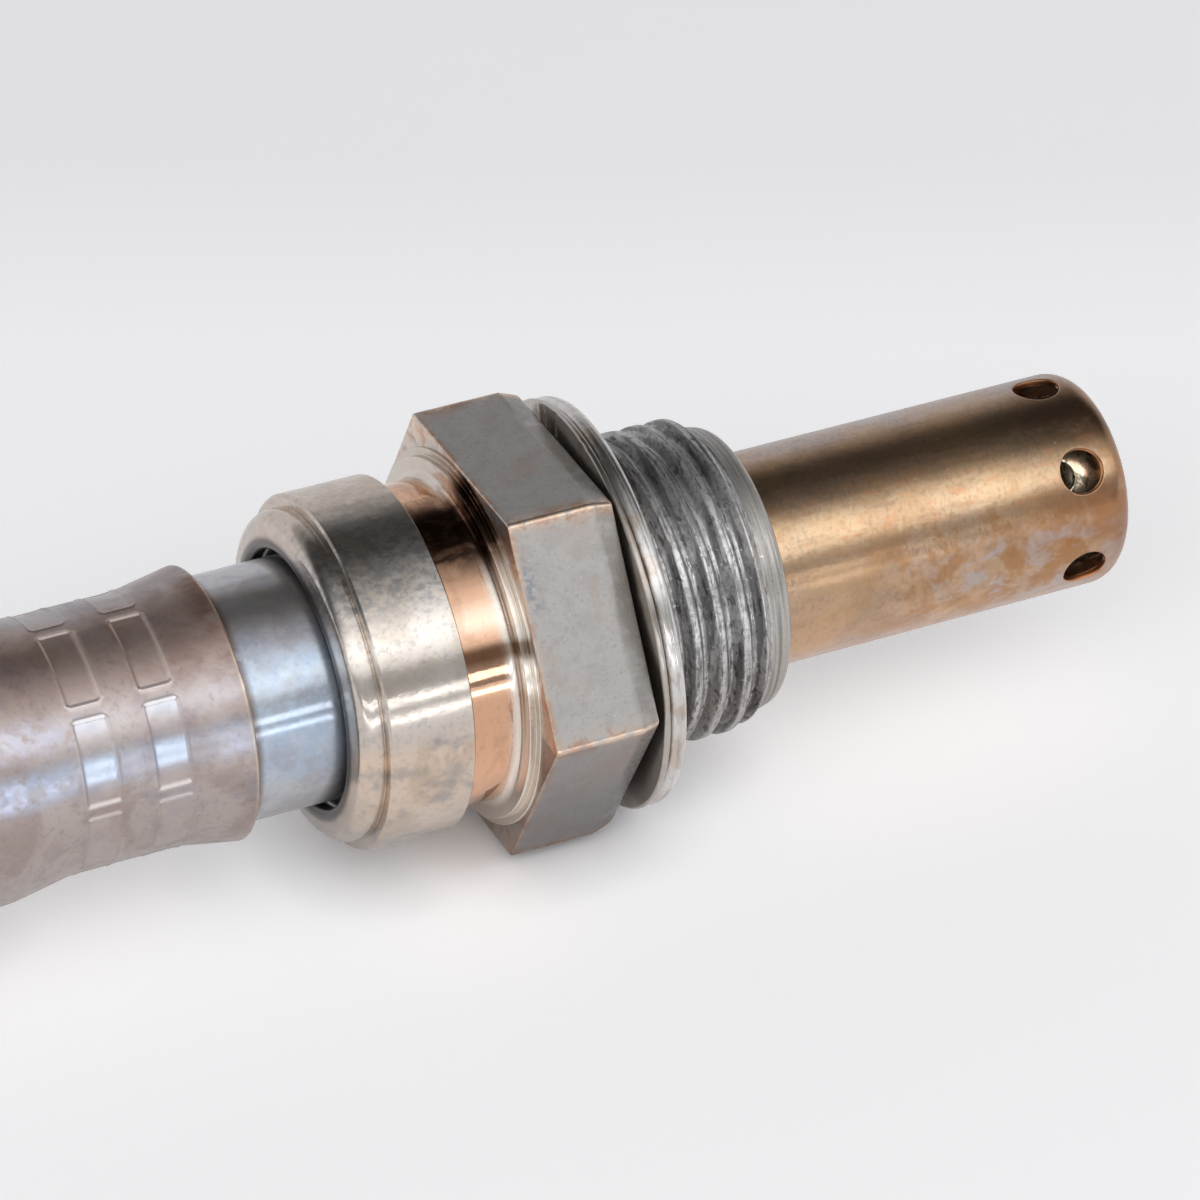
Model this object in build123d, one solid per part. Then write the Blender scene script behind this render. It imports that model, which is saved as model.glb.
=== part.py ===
"""Heated exhaust-gas oxygen sensor with an M18 x 1.5 thread and a 22 mm wrench hex.

Millimetres.  The origin is on the sensor's axis, in the front (sealing) face of the gasket.
+X runs along the axis towards the gas end, +Z is up, and one wrench flat faces straight down.
Every turned or pressed piece is a ring of corners (x, radius) carried round the X axis.
"""

from build123d import *
from math import cos, degrees, radians, sin, tan
import os

# ---- driving dimensions ---------------------------------------------------------------------

# gasket: one strip of sheet rolled over itself twice
gasket_d = 23.6
gasket_sheet = 0.4
gasket_layer_gap = 0.3          # left open until the ring is crushed
gasket_to_hex = 0.5             # how far the new ring hangs off the hex
gasket_curl = 0.55              # tucked-in lip of the front layer, at the bore
seal_face_bore_d = 18.8         # where the flat sealing face begins

# metal shell, outside
thread_d = 18.0
thread_pitch = 1.5
thread_crest = 0.4              # flat top of each rib
thread_depth = 0.8
thread_flank = 30.0             # degrees from square
thread_length = 5.65            # from the gasket's face to the run-out
thread_runout = 0.45
relief_d = 16.2                 # plain neck under the gasket, below the thread's root
pilot_d = 16.8
pilot_front_d = 16.0
pilot_length = 2.3
pilot_round = 0.35
hex_across_flats = 22.0
hex_length = 6.3
hex_bevel_length = 1.2
hex_bevel_depth = 0.35
foot_d = 21.6                   # turned ring where the neck meets the hex
foot_height = 0.18
foot_step_d = 20.7
foot_step_height = 0.4
foot_fillet = 0.45
neck_d = 18.4
neck_length = 3.65
collar_d = 20.2
collar_length = 5.0
collar_edge = 0.08
lip_step = 0.68                 # the lip starts this much below the collar
lip_shoulder = 1.25
lip_bend = 0.95
lip_angle = 10.0                # lean of the rolled-over lip from square
lip_wall = 0.85
lip_edge = 0.35
mouth_d = 14.7

# metal shell, inside
crimp_bore_d = 16.6
body_bore_d = 14.0
bore_cone_x = -6.3              # front end of the cone between the two bores
protector_seat_x = 1.2

# double protector
protector_d = 12.36
protector_wall = 0.4
protector_reach = 22.9          # beyond the shell's front face
protector_round = 1.6
gas_hole_count = 6
gas_hole_d = 2.55
gas_hole_from_tip = 3.1
gas_hole_angle = 37.8           # first hole, up from the front (-Y) side
inner_protector_d = 9.8
inner_protector_wall = 0.4
inner_protector_round = 0.6
inner_hole_d = 2.2
inner_hole_from_tip = 1.75
nose_gap = 0.1                  # between the two closed ends

# sensing element: closed zirconia tube with a conical flange
element_flange_d = 13.0
element_flange_length = 2.0
element_neck_d = 7.2
element_tip_d = 5.2
element_to_nose = 0.9           # gap to the inner protector's closed end
element_stem_d = 8.0
element_stand_out = 6.13        # stem behind the insulator's spigot
element_bore_d = 4.4
element_tip_bore_d = 3.1
element_dome = 0.9              # rounding of the tip, as a share of its radius
seat_ring_bore_d = 9.0
seat_ring_land = 0.3
seat_ring_height = 1.8
talc_length = 3.1               # along the element's stem, behind the flange cone

# insulator, packing ring and inner casing
packing_wire_d = 1.0
casing_d = 13.88
casing_wall = 0.45
casing_bend = 0.3
casing_exposed = 5.03           # bright stretch between the mouth and the outer sleeve
casing_into_sleeve = 1.1
casing_waist_d = 12.3
casing_neck_down = 1.2
casing_length = 19.11           # behind its flange
insulator_spigot_length = 2.2
vent_count = 4
vent_d = 1.5

# outer sleeve, crimped in two rows over the vent filter
sleeve_wall = 0.5
sleeve_front_d = 15.6
sleeve_front_round = 0.22
sleeve_waist_d = 14.34
sleeve_rear_d = 15.7
sleeve_flare_front = 3.6
sleeve_waist_length = 6.25
sleeve_flare_rear = 3.75
sleeve_length = 27.0
sleeve_blend = 6.0
pad_rows = 2
pads_per_row = 8
pad_width = 2.15                # along the axis
pad_row_pitch = 4.07
pad_row_inset = 0.0             # first row, from the start of the waist
pad_depth = 0.1
pad_ridge = 0.6                 # raised fin left between two pads, round the girth
pad_ridge_angle = 0.5           # first fin, up from the front (-Y) side
seal_groove_depth = 0.4
seal_groove_length = 2.4
seal_groove_round = 0.3
seal_groove_from_rear = 3.6
filter_length = 7.6

# heater, contacts, terminals, separator and grommet
heater_d = 2.8
heater_round = 0.4
heater_tip_gap = 1.5
contact_sheet = 0.25
contact_bend = 0.4              # bend radius at the middle of the sheet
contact_slot = 50.0             # opening of the split sleeves, degrees
contact_strip_width = 1.2
pad_contact_length = 1.6
contact_clear = 0.6             # from the inner contact's grip to the heater contacts
inner_contact_length = 6.0      # inside the element's bore
inner_contact_neck = 0.8
inner_contact_grip = 2.0
outer_contact_gap = 0.4         # behind the insulator's spigot
outer_contact_length = 4.0
strip_lap = 2.0                 # flat length in front of the separator
outer_strip_lap = 3.6
terminal_count = 4
terminal_circle_d = 7.0
terminal_barrel_d = 1.8
terminal_barrel_bore_d = 1.2
terminal_barrel_wall = 0.5      # closed end between barrel and blade
terminal_barrel_length = 4.0
terminal_blade_width = 1.4
terminal_blade_sheet = 0.4
terminal_stand_out = 1.2        # blade in front of the separator
strip_clear = 0.4               # from the strips' ends to the separator
separator_spigot_d = 11.2
separator_flange_d = 14.2
separator_flange_length = 6.8
separator_spigot_length = 3.7
heater_socket_depth = 1.5
spring_sheet = 0.3
spring_rise = 0.4
grommet_stick_out = 1.2
grommet_round = 0.6
lead_bore_d = 2.4

# clearances
slip = 0.05                     # radial, between pieces that slide together
tube_slip = 0.07                # radial, protector tube in the shell

# ---- places that follow from them -----------------------------------------------------------

gasket_thickness = 3 * gasket_sheet + 2 * gasket_layer_gap
hex_face_x = -(gasket_thickness + gasket_to_hex)
hex_rear_x = hex_face_x - hex_length
collar_front_x = hex_rear_x - neck_length
collar_rear_x = collar_front_x - collar_length
shell_front_x = thread_length + pilot_length
tip_x = shell_front_x + protector_reach
thread_slope = thread_depth * tan(radians(thread_flank))
thread_ribs = int((thread_length - thread_crest - thread_slope) // thread_pitch) + 1

lip_root_r = collar_d / 2 - lip_step
lip_lean = radians(lip_angle)
mouth_outer_x = collar_rear_x - lip_shoulder - (lip_root_r - mouth_d / 2) * tan(lip_lean)
mouth_inner_x = mouth_outer_x + lip_wall / cos(lip_lean)
lip_foot_x = mouth_inner_x + (crimp_bore_d - mouth_d) / 2 * tan(lip_lean)

packing_r = packing_wire_d / 2
packing_x = lip_foot_x + packing_r * (1 - sin(lip_lean)) / cos(lip_lean)
flange_rear_x = packing_x + packing_r
flange_front_x = flange_rear_x + casing_wall
casing_end_x = flange_rear_x - casing_length

inner_tip_x = tip_x - protector_wall - nose_gap
inner_seat_x = protector_seat_x - protector_wall
ring_seat_x = inner_seat_x - inner_protector_wall
stem_r = element_stem_d / 2
flange_r = element_flange_d / 2
cone_land_x = ring_seat_x - seat_ring_land
cone_front_x = cone_land_x - (flange_r - seat_ring_bore_d / 2)
element_flange_rear_x = cone_front_x - element_flange_length
element_cone_rear_x = element_flange_rear_x - (flange_r - stem_r)
element_tip_x = inner_tip_x - inner_protector_wall - element_to_nose
insulator_front_x = element_cone_rear_x - talc_length
spigot_rear_x = flange_front_x - insulator_spigot_length
element_rear_x = spigot_rear_x - element_stand_out
grip_x = element_rear_x - inner_contact_neck
grip_rear_x = grip_x - inner_contact_grip

sleeve_front_x = mouth_outer_x - casing_exposed
waist_front_x = sleeve_front_x - sleeve_flare_front
waist_rear_x = waist_front_x - sleeve_waist_length
sleeve_rear_x = sleeve_front_x - sleeve_length
casing_shoulder_x = sleeve_front_x - casing_into_sleeve
casing_waist_x = casing_shoulder_x - casing_neck_down
filter_front_x = (waist_front_x + waist_rear_x + filter_length) / 2
groove_x = sleeve_rear_x + seal_groove_from_rear

spring_x = casing_end_x
separator_shoulder_x = spring_x - spring_sheet - spring_rise
separator_front_x = separator_shoulder_x + separator_spigot_length
separator_rear_x = separator_shoulder_x - separator_flange_length
strip_end_x = separator_front_x + strip_clear
strip_land_x = separator_front_x + strip_lap
outer_strip_land_x = separator_front_x + outer_strip_lap
terminal_angles = [45 + number * 360 / terminal_count for number in range(terminal_count)]
blade_top_r = terminal_circle_d / 2 + terminal_blade_sheet / 2

# ---- shaping helpers ------------------------------------------------------------------------


def ring(*corners):
    """Solid of revolution about the sensor's axis; a corner is (x, radius[, rounding])."""
    points = [corner[:2] for corner in corners]
    rounding = [corner[2] if len(corner) == 3 else 0 for corner in corners]
    return revolve(make_face(FilletPolyline(*points, radius=rounding, close=True)), Axis.X)


def rod(front_x, rear_x, diameter):
    """Plain cylinder on the sensor's axis."""
    return ring((rear_x, 0), (rear_x, diameter / 2), (front_x, diameter / 2), (front_x, 0))


def tube(front_x, rear_x, outer_d, bore_d):
    """Plain tube on the sensor's axis."""
    return ring((rear_x, bore_d / 2), (rear_x, outer_d / 2), (front_x, outer_d / 2), (front_x, bore_d / 2))


def turned_to(angle, piece):
    """The piece turned about the sensor's axis; 0 faces the front (-Y) and 90 faces up."""
    return Rot(X=180 - angle) * piece


def radial_holes(x, reach, diameter, count, first_angle):
    """Round drills that point at the axis, evenly spaced, as one cutting tool."""
    drill = Pos(x, reach / 2, 0) * Rot(X=90) * Cylinder(diameter / 2, reach)
    return [turned_to(first_angle + i * 360 / count, drill) for i in range(count)]


def strip(angle, start_r, start_x, bend_x, land_x):
    """Bent connecting strip: straight, then a slope to the blade's level, then flat on the blade."""
    land_r = blade_top_r + contact_sheet / 2
    path = FilletPolyline(
        (start_x, start_r), (bend_x, start_r), (land_x, land_r), (strip_end_x, land_r), radius=contact_bend
    )
    return turned_to(angle, extrude(trace(path, contact_sheet), contact_strip_width / 2, both=True))


def split_sleeve(piece, angle):
    """The sleeve with its slot opened on the side away from its strip."""
    reach = element_flange_d
    half = radians(contact_slot / 2)
    wedge = Polyline((0, 0), (reach, -reach * tan(half)), (reach, reach * tan(half)), close=True)
    half_length = element_stand_out + inner_contact_length
    slot = extrude(Plane.YZ.offset(element_rear_x) * make_face(wedge), half_length, both=True)
    return piece - turned_to(angle + 180, slot)


# ---- the pieces -----------------------------------------------------------------------------


def metal_shell():
    """Turned steel body: thread, wrench hex, thin neck and the collar whose lip is rolled over."""
    outside = ring(
        (mouth_outer_x, 0),
        (mouth_outer_x, mouth_d / 2, lip_edge),
        (collar_rear_x - lip_shoulder, lip_root_r, lip_bend),
        (collar_rear_x, lip_root_r),
        (collar_rear_x, collar_d / 2 - collar_edge),
        (collar_rear_x + collar_edge, collar_d / 2),
        (collar_front_x - collar_edge, collar_d / 2),
        (collar_front_x, collar_d / 2 - collar_edge),
        (collar_front_x, neck_d / 2),
        (hex_rear_x - foot_height - foot_step_height, neck_d / 2, foot_fillet),
        (hex_rear_x - foot_height - foot_step_height, foot_step_d / 2),
        (hex_rear_x - foot_height, foot_step_d / 2),
        (hex_rear_x - foot_height, foot_d / 2),
        (hex_face_x - hex_bevel_length, foot_d / 2),
        (hex_face_x - hex_bevel_length, relief_d / 2),
        (0, relief_d / 2),
        *thread_corners(),
        (thread_length + thread_runout, pilot_d / 2),
        (shell_front_x, pilot_front_d / 2, pilot_round),
        (shell_front_x, 0),
    )
    bore = ring(
        (mouth_outer_x, 0),
        (mouth_outer_x, mouth_d / 2),
        (mouth_inner_x, mouth_d / 2),
        (lip_foot_x, crimp_bore_d / 2),
        (bore_cone_x - (crimp_bore_d - body_bore_d) / 2, crimp_bore_d / 2),
        (bore_cone_x, body_bore_d / 2),
        (protector_seat_x, body_bore_d / 2),
        (protector_seat_x, protector_d / 2 + tube_slip),
        (shell_front_x, protector_d / 2 + tube_slip),
        (shell_front_x, 0),
    )
    return outside + wrench_hex() - bore


def thread_corners():
    """Outline of the thread, drawn as rings one pitch apart, the first one square to the gasket."""
    crest_r, root_r = thread_d / 2, thread_d / 2 - thread_depth
    corners = []
    for rib in range(thread_ribs):
        x = rib * thread_pitch
        corners += [(x - thread_slope, root_r), (x, crest_r), (x + thread_crest, crest_r)]
        corners += [(x + thread_crest + thread_slope, root_r)]
    return corners[1:] + [(thread_length, root_r)]


def wrench_hex():
    """Six-sided part of the shell, sharp behind and bevelled all round on the thread side."""
    outline = RegularPolygon(hex_across_flats / 2, 6, major_radius=False)
    prism = extrude(Plane.YZ.offset(hex_rear_x) * outline, hex_length)
    face = prism.faces().sort_by(Axis.X)[-1]
    return chamfer(face.edges(), hex_bevel_depth, hex_bevel_length, reference=face)


def gasket_ring():
    """Crush gasket: a strip of sheet folded three deep, with its front lip tucked in at the bore."""
    fold = gasket_sheet + gasket_layer_gap
    bend = fold / 2
    outer_r = (gasket_d - gasket_sheet) / 2
    inner_r = (relief_d + gasket_sheet) / 2
    front_x = -gasket_sheet / 2
    strip_path = FilletPolyline(
        (front_x - gasket_curl, seal_face_bore_d / 2 - gasket_curl),
        (front_x, seal_face_bore_d / 2),
        (front_x, outer_r),
        (front_x - fold, outer_r),
        (front_x - fold, inner_r),
        (front_x - 2 * fold, inner_r),
        (front_x - 2 * fold, outer_r),
        radius=[gasket_curl / 2, bend, bend, bend, bend],
    )
    round_edge = Pos(front_x - 2 * fold, outer_r) * Circle(gasket_sheet / 2)
    return revolve(trace(strip_path, gasket_sheet) + round_edge, Axis.X)


def outer_protector():
    """Deep-drawn outer cup with a ring of gas holes near its closed end."""
    wall, tube_r, bore_r = protector_wall, protector_d / 2, protector_d / 2 - protector_wall
    cup = ring(
        (inner_seat_x, bore_r),
        (inner_seat_x, body_bore_d / 2 - slip),
        (protector_seat_x, body_bore_d / 2 - slip),
        (protector_seat_x, tube_r),
        (tip_x, tube_r, protector_round),
        (tip_x, 0),
        (tip_x - wall, 0),
        (tip_x - wall, bore_r, protector_round - wall),
    )
    holes = radial_holes(tip_x - gas_hole_from_tip, body_bore_d, gas_hole_d, gas_hole_count, gas_hole_angle)
    return cup - holes


def inner_protector():
    """Inner cup, nested in the outer one, with its own ring of holes."""
    wall, tube_r = inner_protector_wall, inner_protector_d / 2
    bore_r = tube_r - wall
    cup = ring(
        (ring_seat_x, bore_r),
        (ring_seat_x, body_bore_d / 2 - slip),
        (inner_seat_x, body_bore_d / 2 - slip),
        (inner_seat_x, tube_r),
        (inner_tip_x, tube_r, inner_protector_round),
        (inner_tip_x, 0),
        (inner_tip_x - wall, 0),
        (inner_tip_x - wall, bore_r, inner_protector_round - wall),
    )
    drill_x = inner_tip_x - inner_hole_from_tip
    return cup - radial_holes(drill_x, body_bore_d, inner_hole_d, gas_hole_count, gas_hole_angle)


def seat_ring():
    """Soft metal ring that carries the element's cone on the protectors' flanges."""
    land_r, height_x = seat_ring_bore_d / 2, ring_seat_x - seat_ring_height
    return ring(
        (ring_seat_x, land_r),
        (cone_land_x, land_r),
        (height_x, land_r + (cone_land_x - height_x)),
        (height_x, body_bore_d / 2 - slip),
        (ring_seat_x, body_bore_d / 2 - slip),
    )


def sensing_element():
    """Closed zirconia tube: long stem, conical flange and a tapered, domed tip."""
    tip_r, tip_bore_r = element_tip_d / 2, element_tip_bore_d / 2
    wall = tip_r - tip_bore_r
    neck_r, bore_r = element_neck_d / 2, element_bore_d / 2
    neck_x = cone_front_x + (flange_r - neck_r)
    return ring(
        (element_rear_x, bore_r),
        (element_rear_x, stem_r),
        (element_cone_rear_x, stem_r),
        (element_flange_rear_x, flange_r),
        (cone_front_x, flange_r),
        (neck_x, neck_r),
        (element_tip_x, tip_r, element_dome * tip_r),
        (element_tip_x, 0),
        (element_tip_x - wall, 0),
        (element_tip_x - wall, tip_bore_r, element_dome * tip_bore_r),
        (cone_front_x, bore_r),
    )


def talc_ring():
    """Pressed talc that fills the space between the element's stem and the shell."""
    return ring(
        (element_flange_rear_x, flange_r),
        (element_flange_rear_x, body_bore_d / 2),
        (bore_cone_x, body_bore_d / 2),
        (bore_cone_x - (crimp_bore_d - body_bore_d) / 2, crimp_bore_d / 2),
        (insulator_front_x, crimp_bore_d / 2),
        (insulator_front_x, stem_r),
        (element_cone_rear_x, stem_r),
    )


def insulator():
    """Alumina bush over the talc, with a spigot that centres the inner casing."""
    spigot_r, bore_r = casing_d / 2 - casing_wall - slip, stem_r + slip
    return ring(
        (insulator_front_x, bore_r),
        (insulator_front_x, crimp_bore_d / 2 - slip),
        (flange_front_x, crimp_bore_d / 2 - slip),
        (flange_front_x, spigot_r),
        (spigot_rear_x, spigot_r),
        (spigot_rear_x, bore_r),
    )


def packing_ring():
    """Round wire ring squeezed between the rolled lip, the bore and the casing's flange."""
    wire = Pos(packing_x, crimp_bore_d / 2 - packing_r) * Circle(packing_r)
    return revolve(wire, Axis.X)


def inner_casing():
    """Drawn steel casing: flange under the lip, bright stretch, then a waist with vent holes."""
    wall, flange_edge_r = casing_wall, crimp_bore_d / 2 - slip
    wide_r, waist_r = casing_d / 2, casing_waist_d / 2
    casing = ring(
        (flange_front_x, wide_r - wall),
        (flange_front_x, flange_edge_r),
        (flange_rear_x, flange_edge_r),
        (flange_rear_x, wide_r, casing_bend),
        (casing_shoulder_x, wide_r, casing_bend),
        (casing_waist_x, waist_r, casing_bend),
        (casing_end_x, waist_r),
        (casing_end_x, waist_r - wall),
        (casing_waist_x, waist_r - wall),
        (casing_shoulder_x, wide_r - wall),
    )
    vent_x = (waist_front_x + waist_rear_x) / 2
    return casing - radial_holes(vent_x, casing_d, vent_d, vent_count, 0)


def vent_filter():
    """Porous sleeve round the casing's vent holes, held by the outer sleeve's crimps."""
    rear_x = filter_front_x - filter_length
    return tube(filter_front_x, rear_x, sleeve_waist_d - 2 * sleeve_wall, casing_waist_d)


def sleeve_corners():
    """Outer corners of the sleeve behind its flared front, (x, radius, rounding), front to rear."""
    waist_r, rear_r = sleeve_waist_d / 2, sleeve_rear_d / 2
    groove_r, half_groove = rear_r - seal_groove_depth, seal_groove_length / 2
    return [
        (waist_front_x, waist_r, sleeve_blend),
        (waist_rear_x, waist_r, sleeve_blend),
        (waist_rear_x - sleeve_flare_rear, rear_r, sleeve_blend),
        (groove_x + half_groove, rear_r, seal_groove_round),
        (groove_x + half_groove - seal_groove_depth, groove_r, seal_groove_round),
        (groove_x - half_groove + seal_groove_depth, groove_r, seal_groove_round),
        (groove_x - half_groove, rear_r, seal_groove_round),
        (sleeve_rear_x, rear_r, 0),
    ]


def crimp_pads():
    """Cutting tools for the crimped pads: rows of equal fields with a narrow fin between them."""
    waist_r = sleeve_waist_d / 2
    pitch_angle = 360 / pads_per_row
    pad_angle = pitch_angle - degrees(pad_ridge / waist_r)
    tools = []
    for row in range(pad_rows):
        x = waist_front_x - pad_row_inset - row * pad_row_pitch
        low_r, high_r = waist_r - pad_depth, waist_r + sleeve_wall
        field = Polyline((x, low_r), (x, high_r), (x - pad_width, high_r), (x - pad_width, low_r), close=True)
        pad = Rot(X=-pad_angle / 2) * revolve(make_face(field), Axis.X, pad_angle)
        for pad_number in range(pads_per_row):
            tools.append(turned_to(pad_ridge_angle + (pad_number + 0.5) * pitch_angle, pad))
    return tools


def outer_sleeve():
    """Outer sleeve: flared front end, waist with two rows of crimped pads, then the rear barrel."""
    front_r, shape = sleeve_front_d / 2, sleeve_corners()
    sleeve = ring(
        (sleeve_front_x, front_r - sleeve_wall),
        (sleeve_front_x, front_r, sleeve_front_round),
        *shape,
        *[(x, r - sleeve_wall) for x, r, _ in reversed(shape)],
    )
    return sleeve - crimp_pads()


def rear_grommet():
    """Rubber plug in the sleeve's rear end, gripped in the groove, with one bore for each lead."""
    seat = [(x, r - sleeve_wall) for x, r, _ in sleeve_corners() if x < separator_rear_x]
    rear_x, rear_r = sleeve_rear_x - grommet_stick_out, sleeve_rear_d / 2 - sleeve_wall
    plug = ring(
        (separator_rear_x, 0),
        (separator_rear_x, rear_r),
        *seat,
        (rear_x, rear_r, grommet_round),
        (rear_x, 0),
    )
    length = separator_rear_x - rear_x
    bore = Pos((separator_rear_x + rear_x) / 2, terminal_circle_d / 2, 0) * Rot(Y=90)
    bore = bore * Cylinder(lead_bore_d / 2, 2 * length)
    return plug - [turned_to(angle, bore) for angle in terminal_angles]


def terminal_separator():
    """Ceramic block that keeps the four terminals apart and carries the heater's rear end."""
    flange_edge_r, hole_length = separator_flange_d / 2, separator_front_x - separator_rear_x
    block = ring(
        (separator_front_x, 0),
        (separator_front_x, separator_spigot_d / 2),
        (separator_shoulder_x, separator_spigot_d / 2),
        (separator_shoulder_x, flange_edge_r),
        (separator_rear_x, flange_edge_r),
        (separator_rear_x, 0),
    )
    hole = Pos((separator_front_x + separator_rear_x) / 2, terminal_circle_d / 2, 0) * Rot(Y=90)
    hole = hole * Cylinder(terminal_barrel_d / 2, 2 * hole_length)
    socket = rod(separator_front_x, separator_front_x - heater_socket_depth, heater_d + 2 * slip)
    return block - [turned_to(angle, hole) for angle in terminal_angles] - socket


def spring_washer():
    """Coned spring washer between the casing's end and the separator's flange."""
    inner_r, outer_r = separator_spigot_d / 2 + 2 * slip, separator_flange_d / 2 - 2 * slip
    return ring(
        (spring_x, inner_r),
        (spring_x - spring_rise, outer_r),
        (spring_x - spring_rise - spring_sheet, outer_r),
        (spring_x - spring_sheet, inner_r),
    )


def lead_terminal(angle):
    """Crimp terminal: open barrel for a lead's core, and a flat blade towards the contacts."""
    barrel_front_x = separator_rear_x + terminal_barrel_length
    blade_front_x = separator_front_x + terminal_stand_out
    middle = Pos(separator_rear_x + terminal_barrel_length / 2, terminal_circle_d / 2, 0) * Rot(Y=90)
    barrel = middle * Cylinder(terminal_barrel_d / 2, terminal_barrel_length)
    bore = Cylinder(terminal_barrel_bore_d / 2, terminal_barrel_length)
    barrel -= middle * Pos(Z=-terminal_barrel_wall) * bore
    blade_length = blade_front_x - barrel_front_x + terminal_barrel_wall
    blade_x = blade_front_x - blade_length / 2
    blade = Box(blade_length, terminal_blade_sheet, terminal_blade_width)
    blade = Pos(blade_x, terminal_circle_d / 2, 0) * blade
    return turned_to(angle, barrel + blade)


def heater_rod():
    """Ceramic rod heater, from just inside the element's dome back into the separator."""
    front_x = element_tip_x - (element_tip_d - element_tip_bore_d) / 2 - heater_tip_gap
    rear_x = separator_front_x - heater_socket_depth
    heater_r = heater_d / 2
    return ring((rear_x, 0), (rear_x, heater_r), (front_x, heater_r, heater_round), (front_x, 0))


def heater_contact(angle):
    """Spring strip pressed on one of the heater's pads and lapped on its terminal's blade."""
    start_x = grip_rear_x - contact_clear
    return strip(angle, (heater_d + contact_sheet) / 2, start_x, start_x - pad_contact_length, strip_land_x)


def inner_electrode_contact(angle):
    """Split sleeve in the element's bore, necked down to grip the heater, with its strip."""
    bore_r, grip_r = element_bore_d / 2, heater_d / 2
    front_x = element_rear_x + inner_contact_length
    sleeve = ring(
        (front_x, bore_r - contact_sheet),
        (front_x, bore_r),
        (element_rear_x, bore_r),
        (grip_x, grip_r + contact_sheet),
        (grip_rear_x, grip_r + contact_sheet),
        (grip_rear_x, grip_r),
        (grip_x, grip_r),
        (element_rear_x, bore_r - contact_sheet),
    )
    start_x, bend_x = grip_x - contact_bend, grip_rear_x - contact_bend
    lead = strip(angle, grip_r + contact_sheet, start_x, bend_x, strip_land_x)
    return split_sleeve(sleeve, angle) + lead


def outer_electrode_contact(angle):
    """Split ring round the element's stem, with its strip."""
    front_x = spigot_rear_x - outer_contact_gap
    rear_x = front_x - outer_contact_length
    clip = tube(front_x, rear_x, element_stem_d + 2 * contact_sheet, element_stem_d)
    lead = strip(angle, stem_r + contact_sheet, front_x - contact_bend, element_rear_x, outer_strip_land_x)
    return split_sleeve(clip, angle) + lead


# ---- write each piece -----------------------------------------------------------------------

pieces = {
    "metal_shell": metal_shell(),
    "gasket_ring": gasket_ring(),
    "outer_protector": outer_protector(),
    "inner_protector": inner_protector(),
    "seat_ring": seat_ring(),
    "sensing_element": sensing_element(),
    "talc_ring": talc_ring(),
    "insulator": insulator(),
    "packing_ring": packing_ring(),
    "inner_casing": inner_casing(),
    "vent_filter": vent_filter(),
    "outer_sleeve": outer_sleeve(),
    "rear_grommet": rear_grommet(),
    "terminal_separator": terminal_separator(),
    "spring_washer": spring_washer(),
    "heater_rod": heater_rod(),
    "inner_electrode_contact": inner_electrode_contact(terminal_angles[0]),
    "heater_contact_1": heater_contact(terminal_angles[1]),
    "outer_electrode_contact": outer_electrode_contact(terminal_angles[2]),
    "heater_contact_2": heater_contact(terminal_angles[3]),
}
for number, angle in enumerate(terminal_angles, start=1):
    pieces[f"lead_terminal_{number}"] = lead_terminal(angle)

os.makedirs("parts", exist_ok=True)
for name, piece in pieces.items():
    export_step(piece, f"parts/{name}.step")
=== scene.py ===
"""Oxygen sensor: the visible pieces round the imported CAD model, with their finishes, studio and camera.

Lengths are worked out in millimetres in the model's own frame, with X along the sensor's axis, and
stored in metres.  An angle round the axis is 0 at the front (-Y) side and 90 on top.
"""

import bmesh
import bpy
import numpy as np
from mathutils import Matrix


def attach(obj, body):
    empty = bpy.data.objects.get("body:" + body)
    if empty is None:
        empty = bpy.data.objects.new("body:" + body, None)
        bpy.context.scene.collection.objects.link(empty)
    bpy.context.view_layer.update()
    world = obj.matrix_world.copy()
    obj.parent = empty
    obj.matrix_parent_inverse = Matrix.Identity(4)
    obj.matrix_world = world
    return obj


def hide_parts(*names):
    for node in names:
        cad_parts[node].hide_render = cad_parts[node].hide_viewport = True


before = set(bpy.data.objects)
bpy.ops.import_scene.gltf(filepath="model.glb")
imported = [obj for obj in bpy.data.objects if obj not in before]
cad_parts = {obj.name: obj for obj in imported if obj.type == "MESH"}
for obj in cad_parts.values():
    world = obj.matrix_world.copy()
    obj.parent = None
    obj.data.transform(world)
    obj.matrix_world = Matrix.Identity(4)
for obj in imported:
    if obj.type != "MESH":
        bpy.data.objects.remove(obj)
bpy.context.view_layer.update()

scene = bpy.context.scene
MM = 0.001

# ---- camera -----------------------------------------------------------------------------------
# A long lens about a third of a metre away, above the sensor and a little to its rear.

camera_data = bpy.data.cameras.new("camera")
camera_data.lens = 190.87
camera_data.sensor_width = 36.0
camera_data.clip_start = 0.01
camera = bpy.data.objects.new("camera", camera_data)
camera.location = np.array([-126.269, -267.937, 197.511]) * MM
camera.rotation_euler = np.radians([90.0 - 33.704, 0.0, -25.212])
scene.collection.objects.link(camera)
scene.camera = camera
scene.view_settings.view_transform = "Standard"

# ---- studio -----------------------------------------------------------------------------------
# A pale sweep under an even pale surround, one long softbox in front, two thin strip lights low
# down, and a graded dark card overhead that gives the polished metal its black line.  The sweep
# glows a little for the camera, less in the sensor's contact shadow and less far behind it, along
# the camera's own heading.

FLOOR_Z = -11.8
FLOOR_HALF = 4000
SURROUND = "#dedfe2"
FLOOR = "#f4f4f6"
FLOOR_GLOW = 0.38
CONTACT_REACH = 4.5
VIEW_HEADING = (0.426, 0.905, 0.0)
FADE_FROM, FADE_TO, FADED = 46.0, 70.0, 0.79


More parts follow.
